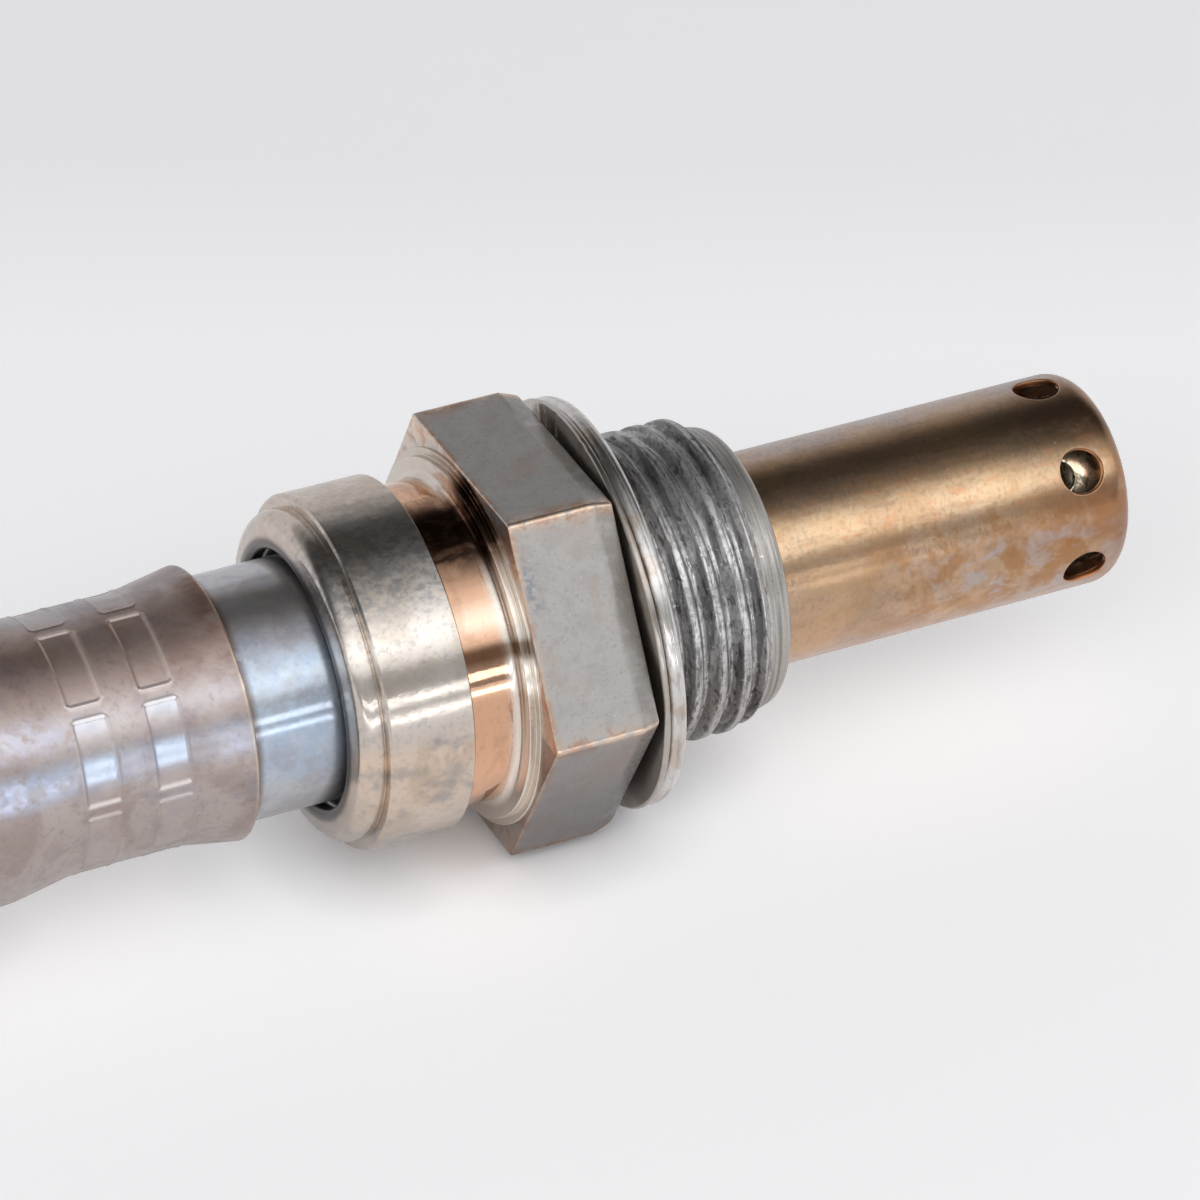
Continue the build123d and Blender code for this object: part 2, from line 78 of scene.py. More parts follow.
def linear(code):
    """An sRGB hex code as linear red, green, blue and alpha 1."""
    share = np.array([int(code[i : i + 2], 16) for i in (1, 3, 5)]) / 255
    curve = np.where(share <= 0.04045, share / 12.92, ((share + 0.055) / 1.055) ** 2.4)
    return (*curve.tolist(), 1.0)


def add_node(tree, kind, settings=None, inputs=None):
    """Adds one node: its own settings, or a ramp's stops, then its inputs as values or as sockets."""
    node = tree.nodes.new("ShaderNode" + kind)
    for key, value in (settings or {}).items():
        if key != "stops":
            setattr(node, key, value)
            continue
        elements = node.color_ramp.elements
        while len(elements) < len(value):
            elements.new(0.5)
        for element, (place, colour) in zip(elements, value):
            element.position = place
            element.color = linear(colour) if isinstance(colour, str) else (*[colour] * 3, 1.0)
    for key, value in (inputs or {}).items():
        if isinstance(value, bpy.types.NodeSocket):
            tree.links.new(value, node.inputs[key])
        else:
            node.inputs[key].default_value = value
    return node


def new_material(name):
    """An empty node material, with its tree and its output node."""
    material = bpy.data.materials.new(name)
    material.use_nodes = True
    material.node_tree.nodes.clear()
    return material, material.node_tree, add_node(material.node_tree, "OutputMaterial")


def grid_mesh(name, points, wrap_rows, wrap_columns):
    """Mesh of quads between neighbours in an array (rows, columns, xyz) of millimetres.

    A wrapped direction joins its last line to its first.  The UV map holds (column share, x / 100 mm).
    """
    rows, columns = points.shape[:2]
    i = np.arange(rows if wrap_rows else rows - 1)[:, None]
    j = np.arange(columns if wrap_columns else columns - 1)[None, :]
    i1, j1 = (i + 1) % rows, (j + 1) % columns
    quads = np.stack([i * columns + j, i * columns + j1, i1 * columns + j1, i1 * columns + j], -1)
    quads = quads.reshape(-1, 4)
    mesh = bpy.data.meshes.new(name)
    mesh.from_pydata((points.reshape(-1, 3) * MM).tolist(), [], quads.tolist())
    share = np.stack([j + 0 * i, j + 1 + 0 * i, j + 1 + 0 * i, j + 0 * i], -1) / columns
    along = points.reshape(-1, 3)[quads, 0] / 100
    uv = np.stack([share.reshape(-1, 4), along], -1)
    mesh.uv_layers.new(name="UVMap").data.foreach_set("uv", uv.ravel())
    return mesh


floor_lines = np.linspace(-FLOOR_HALF, FLOOR_HALF, 9)
floor_points = np.stack(np.meshgrid(floor_lines, floor_lines, [FLOOR_Z]), -1)[:, :, 0]
floor_mesh = grid_mesh("floor", floor_points, False, False)
floor = bpy.data.objects.new("floor", floor_mesh)
scene.collection.objects.link(floor)
material, tree, output = new_material("matt_white_sweep")
path = add_node(tree, "LightPath").outputs
seen = add_node(tree, "Math", {"operation": "ADD"}, {0: path["Is Camera Ray"], 1: path["Is Glossy Ray"]})
seen = add_node(tree, "Math", {"operation": "ADD"}, {0: seen.outputs[0], 1: path["Is Transmission Ray"]})
sweep = add_node(tree, "BsdfDiffuse", None, {"Color": linear(FLOOR)})
open_sky = add_node(tree, "AmbientOcclusion", {"samples": 3}, {"Distance": CONTACT_REACH * MM})
lift = add_node(tree, "Math", {"operation": "MULTIPLY"}, {0: open_sky.outputs["AO"], 1: FLOOR_GLOW})
reach = {0: add_node(tree, "TexCoord").outputs["Object"], 1: VIEW_HEADING}
reach = add_node(tree, "VectorMath", {"operation": "DOT_PRODUCT"}, reach).outputs["Value"]
fade = {0: reach, 1: FADE_FROM * MM, 2: FADE_TO * MM, 3: 1.0, 4: FADED}
behind = add_node(tree, "MapRange", None, fade)
lift = add_node(tree, "Math", {"operation": "MULTIPLY"}, {0: lift.outputs[0], 1: behind.outputs[0]})
glow = add_node(tree, "Emission", None, {"Color": linear(FLOOR), "Strength": lift.outputs[0]})
both = add_node(tree, "AddShader", None, {0: sweep.outputs[0], 1: glow.outputs[0]})
either = add_node(tree, "MixShader", None, {0: seen.outputs[0], 1: sweep.outputs[0], 2: both.outputs[0]})
tree.links.new(either.outputs[0], output.inputs["Surface"])
floor_mesh.materials.append(material)

world = bpy.data.worlds.new("surround")
scene.world = world
world.use_nodes = True
world.node_tree.nodes["Background"].inputs["Color"].default_value = linear(SURROUND)

CARD_ENDS = (-6000, 3000)


def add_card(name, distance, low, high, stops):
    """A curved card that spans two angles round the sensor's axis, with its glow graded between them."""
    turn = np.radians(np.linspace(low, high, 21))
    along = np.linspace(*CARD_ENDS, 4)[:, None]
    points = [along + 0 * turn, -distance * np.cos(turn) + 0 * along, distance * np.sin(turn) + 0 * along]
    points = np.stack(points, -1)
    mesh = grid_mesh(name, points, False, False)
    card = bpy.data.objects.new(name, mesh)
    scene.collection.objects.link(card)
    card.visible_camera = False
    material, tree, output = new_material(name)
    split = add_node(tree, "SeparateXYZ", None, {0: add_node(tree, "UVMap").outputs[0]})
    peak = max(glow for _, glow in stops)
    stops = [((angle - low) / (high - low), glow / peak) for angle, glow in stops]
    shade = add_node(tree, "ValToRGB", {"stops": stops}, {0: split.outputs[0]})
    glow = add_node(tree, "Emission", None, {"Color": shade.outputs[0], "Strength": peak})
    tree.links.new(glow.outputs[0], output.inputs["Surface"])
    mesh.materials.append(material)


# Each stop is (angle round the sensor's axis, glow).
OVERHEAD = [(54, 1.2), (60, 1.1), (64, 0.94), (68, 0.75), (76, 0.48), (84, 0.34), (91, 0.18), (98, 0.07)]
OVERHEAD += [(104, 0.035), (120, 0.03), (126, 0.05), (131, 0.16), (138, 0.36), (146, 0.46), (154, 0.58)]
SOFTBOX = [(24, 0.35), (26, 0.6), (28, 0.95), (32, 1.3), (37, 1.6), (42, 1.8), (48, 1.6), (57, 1.2)]
FRONT = [(-6, 0.4), (-3, 0.3), (6, 0.25), (12, 0.32), (20, 0.3), (24, 0.42)]
add_card("overhead_card", distance=1200.0, low=54, high=154, stops=OVERHEAD)
add_card("softbox", distance=1100.0, low=24, high=57, stops=SOFTBOX)
add_card("front_card", distance=1150.0, low=-6, high=24, stops=FRONT)


def add_lamp(name, angle, distance, x, size, radiance):
    """A rectangular lamp seen from the sensor at an angle round its axis, facing it.

    Its power is its radiance times pi times its area.
    """
    data = bpy.data.lights.new(name, "AREA")
    data.shape = "RECTANGLE"
    data.size, data.size_y = size[0] * MM, size[1] * MM
    data.energy = radiance * np.pi * data.size * data.size_y
    lamp = bpy.data.objects.new(name, data)
    turn = np.radians(angle)
    lamp.location = np.array([x, -distance * np.cos(turn), distance * np.sin(turn)]) * MM
    lamp.rotation_euler = (np.pi / 2 - turn, 0.0, 0.0)
    lamp.visible_camera = False
    scene.collection.objects.link(lamp)


add_lamp("strip_upper", angle=6.9, distance=240.0, x=-65.0, size=(370.0, 23.0), radiance=2.4)
add_lamp("strip_lower", angle=-4.2, distance=125.0, x=-41.0, size=(218.0, 9.4), radiance=2.3)

# ---- collar of the metal shell ----------------------------------------------------------------
# Turned steel, satin nickel plated.  Its thin rear lip was rolled over hot on to the packing ring,
# so the lip is smooth and the collar keeps fine turning marks.


def rounded_path(corners, steps=6, closed=True):
    """Profile through (x, radius, rounding) corners, each replaced by an arc.

    The arc starts and ends at rounding / tan(half the corner's angle) from the corner, and its points
    turn evenly from one end's direction to the other's, about a centre on the bisector.  Two more
    points stand close to each arc on the straight runs, so that the shading stays in the arc.
    """
    corner = np.array([(*c, 0.03)[:3] for c in corners], float)
    place, rounding = corner[:, :2], corner[:, 2:]
    back = np.roll(place, 1, 0) - place
    ahead = np.roll(place, -1, 0) - place
    back_length = np.linalg.norm(back, axis=1, keepdims=True)
    ahead_length = np.linalg.norm(ahead, axis=1, keepdims=True)
    back, ahead = back / back_length, ahead / ahead_length
    half = np.arccos(np.clip((back * ahead).sum(1, keepdims=True), -1, 1)) / 2
    reach = rounding / np.tan(half)
    bisector = back + ahead
    bisector = bisector / np.linalg.norm(bisector, axis=1, keepdims=True)
    centre = place + bisector * rounding / np.sin(half)
    start, end = place + back * reach - centre, place + ahead * reach - centre
    turn = np.pi - 2 * half
    share = np.linspace(0, 1, steps + 1)[:, None, None]
    arc = centre + (np.sin((1 - share) * turn) * start + np.sin(share * turn) * end) / np.sin(turn)
    step = np.minimum(0.05, np.minimum(back_length, ahead_length) / 8)
    before = (place + back * (reach + step))[None]
    after = (place + ahead * (reach + step))[None]
    rows = np.concatenate([before, arc, after]).transpose(1, 0, 2)
    if not closed:
        return np.concatenate([place[:1], rows[1:-1].reshape(-1, 2), place[-1:]])
    return rows.reshape(-1, 2)


def turned(profile, count=256, first=-90.0):
    """Points of a profile (x, radius) carried round the X axis: y = -r cos(angle), z = r sin(angle)."""
    angle = np.radians(first + np.arange(count) * 360 / count)
    x, r = profile[:, 0, None], profile[:, 1, None]
    return np.stack([x + 0 * angle, -r * np.cos(angle), r * np.sin(angle)], -1)


def add_piece(name, mesh, material, slot, *replaced):
    """Welds the mesh, turns its faces outwards and puts it on the body as a finished piece."""
    work = bmesh.new()
    work.from_mesh(mesh)
    bmesh.ops.remove_doubles(work, verts=work.verts, dist=1e-7)
    bmesh.ops.recalc_face_normals(work, faces=work.faces)
    work.to_mesh(mesh)
    work.free()
    mesh.shade_smooth()
    mesh.materials.append(material)
    piece = bpy.data.objects.new(name, mesh)
    scene.collection.objects.link(piece)
    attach(piece, "root")
    if replaced:
        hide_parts(*replaced)
    return piece


COLLAR = [
    (-18.865, 7.35, 0.34),
    (-18.5, 9.42, 0.93),
    (-17.37, 9.42, 0.1),
    (-17.27, 9.36, 0.03),
    (-17.25, 9.95, 0.02),
    (-17.1, 10.12, 0.14),
    (-12.33, 10.1, 0.06),
    (-12.25, 10.0),
    (-12.25, 8.3),
    (-17.83, 8.3),
    (-18.0, 7.35, 0.2),
]


def axis_places(tree):
    """Object coordinates in millimetres, their x, y and z apart, and the place round the girth.

    The place round the girth is a share: 0.25 at the bottom, 0.5 in front, 0.75 on top.
    """
    where = add_node(tree, "TexCoord").outputs["Object"]
    place = add_node(tree, "VectorMath", {"operation": "SCALE"}, {0: where, "Scale": 1 / MM}).outputs[0]
    axes = add_node(tree, "SeparateXYZ", None, {0: place}).outputs
    outward = add_node(tree, "Math", {"operation": "MULTIPLY"}, {0: axes[1], 1: -1.0})
    turn = add_node(tree, "Math", {"operation": "ARCTAN2"}, {0: axes[2], 1: outward.outputs[0]})
    girth = add_node(tree, "MapRange", None, {0: turn.outputs[0], 1: -np.pi, 2: np.pi}).outputs[0]
    return place, axes, girth


def pattern(tree, place, scale, stretch, low, high, detail=5.0, warp=0.0):
    """Share of a cloudy noise: 0 where it is below low, 1 above high.  The scale is per millimetre."""
    stretched = add_node(tree, "VectorMath", {"operation": "MULTIPLY"}, {0: place, 1: stretch})
    inputs = {"Vector": stretched.outputs[0], "Scale": scale, "Detail": detail}
    noise = add_node(tree, "TexNoise", None, {**inputs, "Roughness": 0.6, "Distortion": warp})
    limits = {0: noise.outputs[0], 1: low, 2: high}
    return add_node(tree, "MapRange", {"interpolation_type": "SMOOTHSTEP"}, limits).outputs[0]


def mixed(tree, share, first, second, blend="MIX"):
    """The first colour, and the second where the share is 1."""
    colours = {0: share, 6: first, 7: second}
    return add_node(tree, "Mix", {"data_type": "RGBA", "blend_type": blend}, colours).outputs[2]


def product(tree, first, second):
    """Two values multiplied."""
    return add_node(tree, "Math", {"operation": "MULTIPLY"}, {0: first, 1: second}).outputs[0]


def ramp(tree, factor, low, high, stops):
    """A colour ramp over the span low to high; its stops are given in the factor's own unit."""
    stops = [((place - low) / (high - low), shade) for place, shade in stops]
    share = add_node(tree, "MapRange", None, {0: factor, 1: low, 2: high})
    return add_node(tree, "ValToRGB", {"stops": stops}, {0: share.outputs[0]}).outputs[0]


EVEN = (1.0, 1.0, 1.0)


def metal(name, tint, layers, roughness, haze, relief, girth=None, along=None):
    """A bare metal surface of two lobes: a polished one, and a dull one for its fine scratches and scale.

    haze is the dull lobe's share and its roughness.  Each layer is a noise of (colour, amount, scale,
    stretch, low, high, change of the dull share); with high at 0.1 it is even.  It may be held to
    zones: ("girth", low, high, stops) in degrees round the axis, "x", "reach" from the axis, or the
    name of one of the mesh's attributes.  relief is a list of noises as (scale, stretch, depth in mm).
    girth and along multiply the colour by ramps, over degrees round the axis (0 in front, 90 on top)
    and over x.  Scales are per millimetre.  Real brushing marks are narrower than a pixel, so the
    streaks here are drawn a few times coarser, and the rest is the dull lobe's roughness.
    """
    material, tree, output = new_material(name)
    place, axes, share = axis_places(tree)
    degrees = add_node(tree, "MapRange", None, {0: share, 3: -180.0, 4: 180.0}).outputs[0]
    off_axis = {0: place, 1: (0.0, 1.0, 1.0)}
    across = add_node(tree, "VectorMath", {"operation": "MULTIPLY"}, off_axis).outputs[0]
    reach = add_node(tree, "VectorMath", {"operation": "LENGTH"}, {0: across}).outputs["Value"]
    factors = {"girth": degrees, "x": axes[0], "reach": reach}
    colour, dull, rough = linear(tint), haze[0], roughness
    for code, amount, scale, stretch, low, high, duller, *zones in layers:
        mask = amount
        if high > 0.1:
            mask = product(tree, pattern(tree, place, scale, stretch, low, high, 4.0, 0.4), amount)
        for kind, start, end, stops in zones:
            factor = factors.get(kind)
            if factor is None:
                factor = add_node(tree, "Attribute", {"attribute_name": kind}).outputs[2]
            mask = product(tree, mask, ramp(tree, factor, start, end, stops))
        colour = mixed(tree, mask, colour, linear(code))
        sums = [{0: mask, 1: duller, 2: dull}, {0: mask, 1: duller / 4, 2: rough}]
        dull, rough = (
            add_node(tree, "Math", {"operation": "MULTIPLY_ADD"}, terms).outputs[0] for terms in sums
        )
    for factor, span in ((degrees, girth), (axes[0], along)):
        if span:
            colour = mixed(tree, 1.0, colour, ramp(tree, factor, *span), "MULTIPLY")
    inputs = {"Base Color": colour, "Metallic": 1.0}
    for scale, stretch, depth in relief:
        height = pattern(tree, place, scale, stretch, 0.2, 0.8, 3.0)
        bump = {"Strength": 1.0, "Distance": depth * MM, "Height": height}
        if "Normal" in inputs:
            bump["Normal"] = inputs["Normal"]
        inputs["Normal"] = add_node(tree, "Bump", None, bump).outputs[0]
    polished = add_node(tree, "BsdfPrincipled", None, {**inputs, "Roughness": rough})
    scratched = add_node(tree, "BsdfPrincipled", None, {**inputs, "Roughness": haze[1]})
    skin = add_node(tree, "MixShader", None, {0: dull, 1: polished.outputs[0], 2: scratched.outputs[0]})
    tree.links.new(skin.outputs[0], output.inputs["Surface"])
    return material


satin_nickel = metal(
    "satin_nickel_plate",
    "#e2dad2",
    [
        ("#c4b6a6", 0.5, 0.28, EVEN, 0.48, 0.62, 0.05),
        ("#a4a5a8", 0.45, 3.2, EVEN, 0.5, 0.66, 0.12),
        (
            "#9aa1a9", 0.6, 0.5, (0.8, 1.0, 1.0), 0.48, 0.66, 0.15,
            ("girth", -60, 40, [(-60, 0.0), (-40, 1.0), (6, 1.0), (12, 0.0)]),
        ),
        # Painted reflection: grey speckle in the band where the dark overhead reflection lies.
        (
            "#8c9096", 0.6, 2.4, (0.7, 1.0, 1.0), 0.4, 0.6, 0.12,
            ("girth", 44, 90, [(44, 0.0), (54, 1.0), (72, 1.0), (90, 0.3)]),
        ),
        # Painted shade: dark on the lip's inner edge, in the gap round the casing.
        (
            "#5a585a", 0.9, 0.5, EVEN, 0.0, 0.1, 0.2,
            ("reach", 7, 9, [(7, 1.0), (7.9, 1.0), (8.2, 0.0), (9, 0.0)]),
        ),
    ],
    roughness=0.12,
    haze=(0.36, 0.36),
    relief=[(2.6, EVEN, 0.0022), (0.7, (2.5, 1.0, 1.0), 0.001)],
    # Painted shade and light by side: darker underneath, and a warm bright band in front.
    girth=(
        -180, 180,
        [
            (-180, "#dcdad8"), (-60, "#c8c4c0"), (-44, "#d8d2cc"), (-24, "#e6ded6"), (0, "#fff0e2"),
            (10, "#e6e4e2"), (40, "#ffffff"), (84, "#fdfbfa"), (110, "#f2e8de"), (180, "#dcdad8"),
        ],
    ),
)
collar_mesh = grid_mesh("shell_collar", turned(rounded_path(COLLAR)), True, True)
add_piece("shell_collar", collar_mesh, satin_nickel, "shell_steel", "metal_shell")

# ---- neck of the metal shell ------------------------------------------------------------------
# The thin steel wall between hex and collar, turned, then tinted copper when the lip was closed hot.
# Two turned steps lead up to the hex.

NECK = [
    (-12.5, 8.3),
    (-12.5, 9.2),
    (-9.18, 9.2, 0.45),
    (-9.18, 10.35, 0.06),
    (-8.78, 10.35, 0.05),
    (-8.78, 10.8, 0.06),
    (-8.4, 10.8),
    (-8.4, 7.0),
    (-10.0, 7.0),
    (-11.3, 8.3),
]
tinted_neck = metal(
    "heat_tinted_steel",
    "#e8bb9c",
    [
        # Painted highlight: paler where the softbox reflects.
        (
            "#f0dccb", 0.7, 0.5, EVEN, 0.0, 0.1, 0.0,
            ("girth", 28, 56, [(28, 0.0), (33, 0.0), (38, 1.0), (43, 1.0), (49, 0.0), (56, 0.0)]),
        ),
        # Pale steel on the steps by the hex; held back from 62 to 88 degrees, a painted shade where the dark
        # band reflects.
        (
            "#f0ebe4", 1.0, 0.5, EVEN, 0.0, 0.1, 0.4,
            ("x", -12.6, -8.4, [(-12.6, 0.0), (-9.95, 0.0), (-9.6, 0.6), (-9.4, 1.0), (-8.4, 1.0)]),
            ("girth", 40, 124, [(40, 1.0), (54, 0.9), (62, 0.15), (88, 0.15), (98, 1.0), (124, 1.0)]),
        ),
        (
            "#c39a80", 0.35, 0.6, (1.4, 0.7, 0.7), 0.5, 0.66, 0.04,
            ("x", -12.6, -8.6, [(-12.6, 1.0), (-9.5, 1.0), (-9.2, 0.0), (-8.6, 0.0)]),
        ),
        # Painted shade: darker copper streaks in and above the dark reflected band.
        (
            "#a87862", 0.6, 0.8, (2.5, 0.5, 0.5), 0.42, 0.6, 0.0,
            ("girth", 40, 124, [(40, 0.0), (60, 0.25), (70, 1.0), (88, 1.0), (112, 0.5), (124, 0.0)]),
        ),
        # Painted reflection: the dark overhead card's band, nearly black.
        (
            "#43362f", 0.82, 0.9, (0.6, 1.0, 1.0), 0.34, 0.52, 0.0,
            ("girth", 40, 124, [(40, 0.0), (54, 0.0), (63, 1.0), (84, 1.0), (93, 0.0), (124, 0.0)]),
        ),
        ("#8c6a58", 0.15, 3.0, EVEN, 0.56, 0.68, 0.06),
    ],
    roughness=0.06,
    haze=(0.04, 0.35),
    relief=[(2.6, EVEN, 0.0008), (0.6, (3.0, 1.0, 1.0), 0.0012)],
    # Painted light and shade by side: white where the lamps reflect, darker in the gap between their bands
    # and in the dark band above.
    girth=(
        -180, 180,
        [
            (-180, "#e8e4e0"), (-60, "#ece8e4"), (-44, "#fffaf6"), (-30, "#fbf4f0"), (0, "#f4eeea"),
            (12, "#eee8e2"), (15, "#ffffff"), (24.5, "#ffffff"), (26, "#bcaca0"), (29.5, "#bcaca0"),
            (31.5, "#ffffff"), (35, "#f2efec"), (45, "#f2efec"), (50, "#ffffff"), (58, "#ffffff"),
            (66, "#c4b8b0"), (84, "#b4aaa4"), (92, "#ffffff"), (110, "#e6dfd8"), (180, "#e8e4e0"),
        ],
    ),
    along=(-12.6, -8.4, [(-12.6, "#f4ece6"), (-12.0, "#ffffff"), (-9.4, "#ffffff"), (-8.4, "#e6e4e0")]),
)
neck_mesh = grid_mesh("shell_neck", turned(rounded_path(NECK)), True, True)
add_piece("shell_neck", neck_mesh, tinted_neck, "shell_steel", "metal_shell")

# ---- wrench hex of the metal shell ------------------------------------------------------------
# Cold-forged 22 mm hex with softened corners, left as forged under thin nickel.  Each flat has a
# bevel towards the thread, and a painted highlight runs along its corners and rear edge.

HEX_ROWS = [
    (-8.6, 8.4, 0.0),
    (-8.6, 10.86, 1.0),
    (-8.58, 10.94, 1.0),
    (-8.52, 10.985, 1.0),
    (-8.42, 11.0, 1.0),
    (-8.2, 11.0, 1.0),
    (-6.0, 11.0, 1.0),
    (-3.8, 11.0, 1.0),
    (-3.56, 10.998, 1.0),
    (-3.44, 10.985, 1.0),
    (-3.3, 10.945, 1.0),
    (-2.6, 10.742, 1.0),
    (-2.42, 10.68, 1.0),
    (-2.33, 10.63, 1.0),
    (-2.3, 10.54, 1.0),
    (-2.3, 8.0, 0.0),
    (-2.3, 7.0, 0.0),
    (-8.6, 7.0, 0.0),
]
HEX_CORNER_R = 0.32
HEX_REACH = 12.5
HEX_REAR_X = -8.55
BEVEL_X = -3.55
# Widths in mm of the painted highlight along the corners and along the rear edge.
CORNER_HIGHLIGHT = 0.42
REAR_HIGHLIGHT = 0.12


def hex_section(half_flat, corner, steps=8, flat_steps=7):
    """Closed outline of a hexagon with rounded corners, as (y, z), one flat facing down.

    Each corner's arc turns 60 degrees about a centre set back from it by corner / cos(30); the flats
    between the arcs are divided evenly.
    """
    middle = np.radians(60.0 * np.arange(6))[:, None]
    centre_reach = (half_flat - corner) / np.cos(np.radians(30))
    direction = middle + np.radians(np.linspace(-30, 30, steps + 1))[None, :]
    arc_y = centre_reach * np.cos(middle) + corner * np.cos(direction)
    arc_z = centre_reach * np.sin(middle) + corner * np.sin(direction)
    arc = np.stack([arc_y, arc_z], -1)
    ends = np.roll(arc[:, 0], -1, 0)
    share = [0.01, 0.025, 0.05, *np.linspace(0.1, 0.9, flat_steps), 0.95, 0.975, 0.99]
    share = np.array(share)[:, None, None]
    flat = (arc[:, -1] * (1 - share) + ends * share).transpose(1, 0, 2)
    return np.concatenate([arc, flat], 1).reshape(-1, 2)


# The border of the bevel wanders a little, as on a forging.
sections = []
for x, size, squareness in HEX_ROWS:
    outline = hex_section(max(size, 9.0), HEX_CORNER_R)
    turn = np.arctan2(outline[:, 1], -outline[:, 0])
    wave = 0.17 * np.sin(9 * turn + 1.2) + 0.07 * np.sin(23 * turn)
    row_x = x + wave * np.exp(-(((x - BEVEL_X) / 0.25) ** 2))
    if not squareness:
        outline = outline / np.linalg.norm(outline, axis=1, keepdims=True) * size
    sections.append(np.column_stack([row_x, outline]))
forged_hex = metal(
    "forged_nickel_plate",
    "#c4c1bf",
    [
        ("#a9a5a2", 0.3, 0.9, EVEN, 0.44, 0.64, 0.05),
        ("#8f8b88", 0.35, 4.8, EVEN, 0.52, 0.66, 0.1),
        ("#bfa08c", 0.3, 0.3, EVEN, 0.5, 0.68, 0.0),
        (
            "#7f8894", 0.55, 2.2, EVEN, 0.44, 0.58, 0.05,
            ("x", -8.7, -2.2, [(-8.7, 0.0), (-8.3, 1.0), (-7.9, 1.0), (-7.3, 0.0), (-2.2, 0.0)]),
            ("girth", 0, 60, [(0, 0.0), (34, 0.0), (40, 1.0), (48, 1.0), (54, 0.0), (60, 0.0)]),
        ),
        ("#ece8e4", 0.7, 4.0, EVEN, 0.66, 0.71, -0.1),
        (
            "#a6a29e", 0.8, 0.9, (0.4, 1.0, 1.0), 0.3, 0.5, 0.06,
            ("x", -4.4, -2.2, [(-4.4, 0.0), (-3.75, 0.0), (-3.35, 1.0), (-2.2, 1.0)]),
        ),
        # Painted highlight: cream along the corners and the rear edge, with copper at its fringe.
        ("#ecd2bc", 0.9, 1.1, EVEN, 0.36, 0.52, -0.25, ("worn", 0, 1, [(0, 0.0), (1, 1.0)])),
        ("#bd8460", 0.55, 0.9, EVEN, 0.48, 0.58, 0.0, ("worn", 0, 1, [(0, 0.0), (0.5, 0.9), (1, 0.5)])),
    ],
    roughness=0.26,
    haze=(0.55, 0.5),
    relief=[(1.6, EVEN, 0.0035), (5.0, EVEN, 0.002)],
    # Painted shade: the lower half darker, most on the lower front flat.
    girth=(
        -180, 180,
        [
            (-180, "#d8d6d4"), (-40, "#b4b2b1"), (-12, "#c4c0be"), (-1, "#c8c4c1"), (0, "#ffffff"),
            (180, "#ffffff"),
        ],
    ),
)
hex_points = np.array(sections)
hex_mesh = grid_mesh("shell_hex", hex_points, True, True)
corner_turn = (np.degrees(np.arctan2(hex_points[..., 2], hex_points[..., 1])) + 30) % 60 - 30
off_corner = np.abs(np.radians(corner_turn)) * HEX_REACH
off_end = np.abs(hex_points[..., 0] - HEX_REAR_X)
# Where the painted highlight lies: along each corner and along the rear edge, on the outer faces only.
worn = np.exp(-((off_corner / CORNER_HIGHLIGHT) ** 2))
worn += 0.8 * np.exp(-((off_end / REAR_HIGHLIGHT) ** 2)) * (off_corner < 7)
worn = np.clip(worn, 0, 1) * (np.hypot(hex_points[..., 1], hex_points[..., 2]) > 10.4)
hex_mesh.attributes.new("worn", "FLOAT", "POINT").data.foreach_set("value", worn.ravel())
add_piece("shell_hex", hex_mesh, forged_hex, "shell_steel", "metal_shell")

# ---- thread and pilot of the metal shell --------------------------------------------------------
# Rolled M18 x 1.5 right-hand thread, coated with grey anti-seize paste that is worn off its crests.
# A plain pilot leads it in, and a plain relief under the gasket ends it.

PITCH = 1.5
CREST_R = 9.0
THREAD_DEPTH = 0.8
CREST_X = 1.65
CREST_ANGLE = 108.0
CORE_R = 8.1
PILOT_X = 6.42
PILOT_END_X = 7.95
THREAD_COLUMNS = 320


def smooth_step(value):
    """0 below 0, 1 above 1, and 3t^2 - 2t^3 between."""
    t = np.clip(value, 0, 1)
    return t * t * (3 - 2 * t)


round_end = PILOT_END_X - 0.35 * (1 - np.sin(np.linspace(0.1, 1.57, 7)))
thread_x = [[-2.6, -1.2], np.arange(-0.35, PILOT_X, 0.036), [6.45, 6.52, 6.7, 7.2, 7.6], round_end]
thread_x = np.concatenate(thread_x)
PILOT = [(6.4, 8.4), (7.6, 8.1), (7.68, 8.07), (7.78, 8.0), (7.86, 7.91), (7.92, 7.8), (7.95, 7.66)]
pilot_r = np.interp(thread_x, *np.transpose(PILOT))
thread_angle = np.arange(THREAD_COLUMNS) * 360 / THREAD_COLUMNS
phase = (thread_x[:, None] - CREST_X) / PITCH + (thread_angle[None, :] - CREST_ANGLE) / 360
from_crest = np.abs((phase + 0.5) % 1 - 0.5)
fall = smooth_step((from_crest - 0.1) / 0.34)
start_rise = smooth_step((thread_x + 0.2) / 0.75)[:, None]
thread_r = CORE_R + (CREST_R - THREAD_DEPTH * fall - CORE_R) * start_rise
envelope = np.interp(thread_x, [-3, 5.85, PILOT_X], [CREST_R, CREST_R, 8.4])[:, None]
thread_r = np.where(thread_x[:, None] < PILOT_X, np.minimum(thread_r, envelope), pilot_r[:, None])
angle = np.radians(thread_angle - 90)
outer = np.stack([thread_x[:, None] + 0 * thread_r, -thread_r * np.cos(angle), thread_r * np.sin(angle)], -1)
inner = [(PILOT_END_X, 7.2), (PILOT_END_X, 6.3), (7.9, 6.25), (1.2, 6.25), (1.2, 7.0), (-2.6, 7.0)]
inner = turned(np.array(inner), THREAD_COLUMNS)
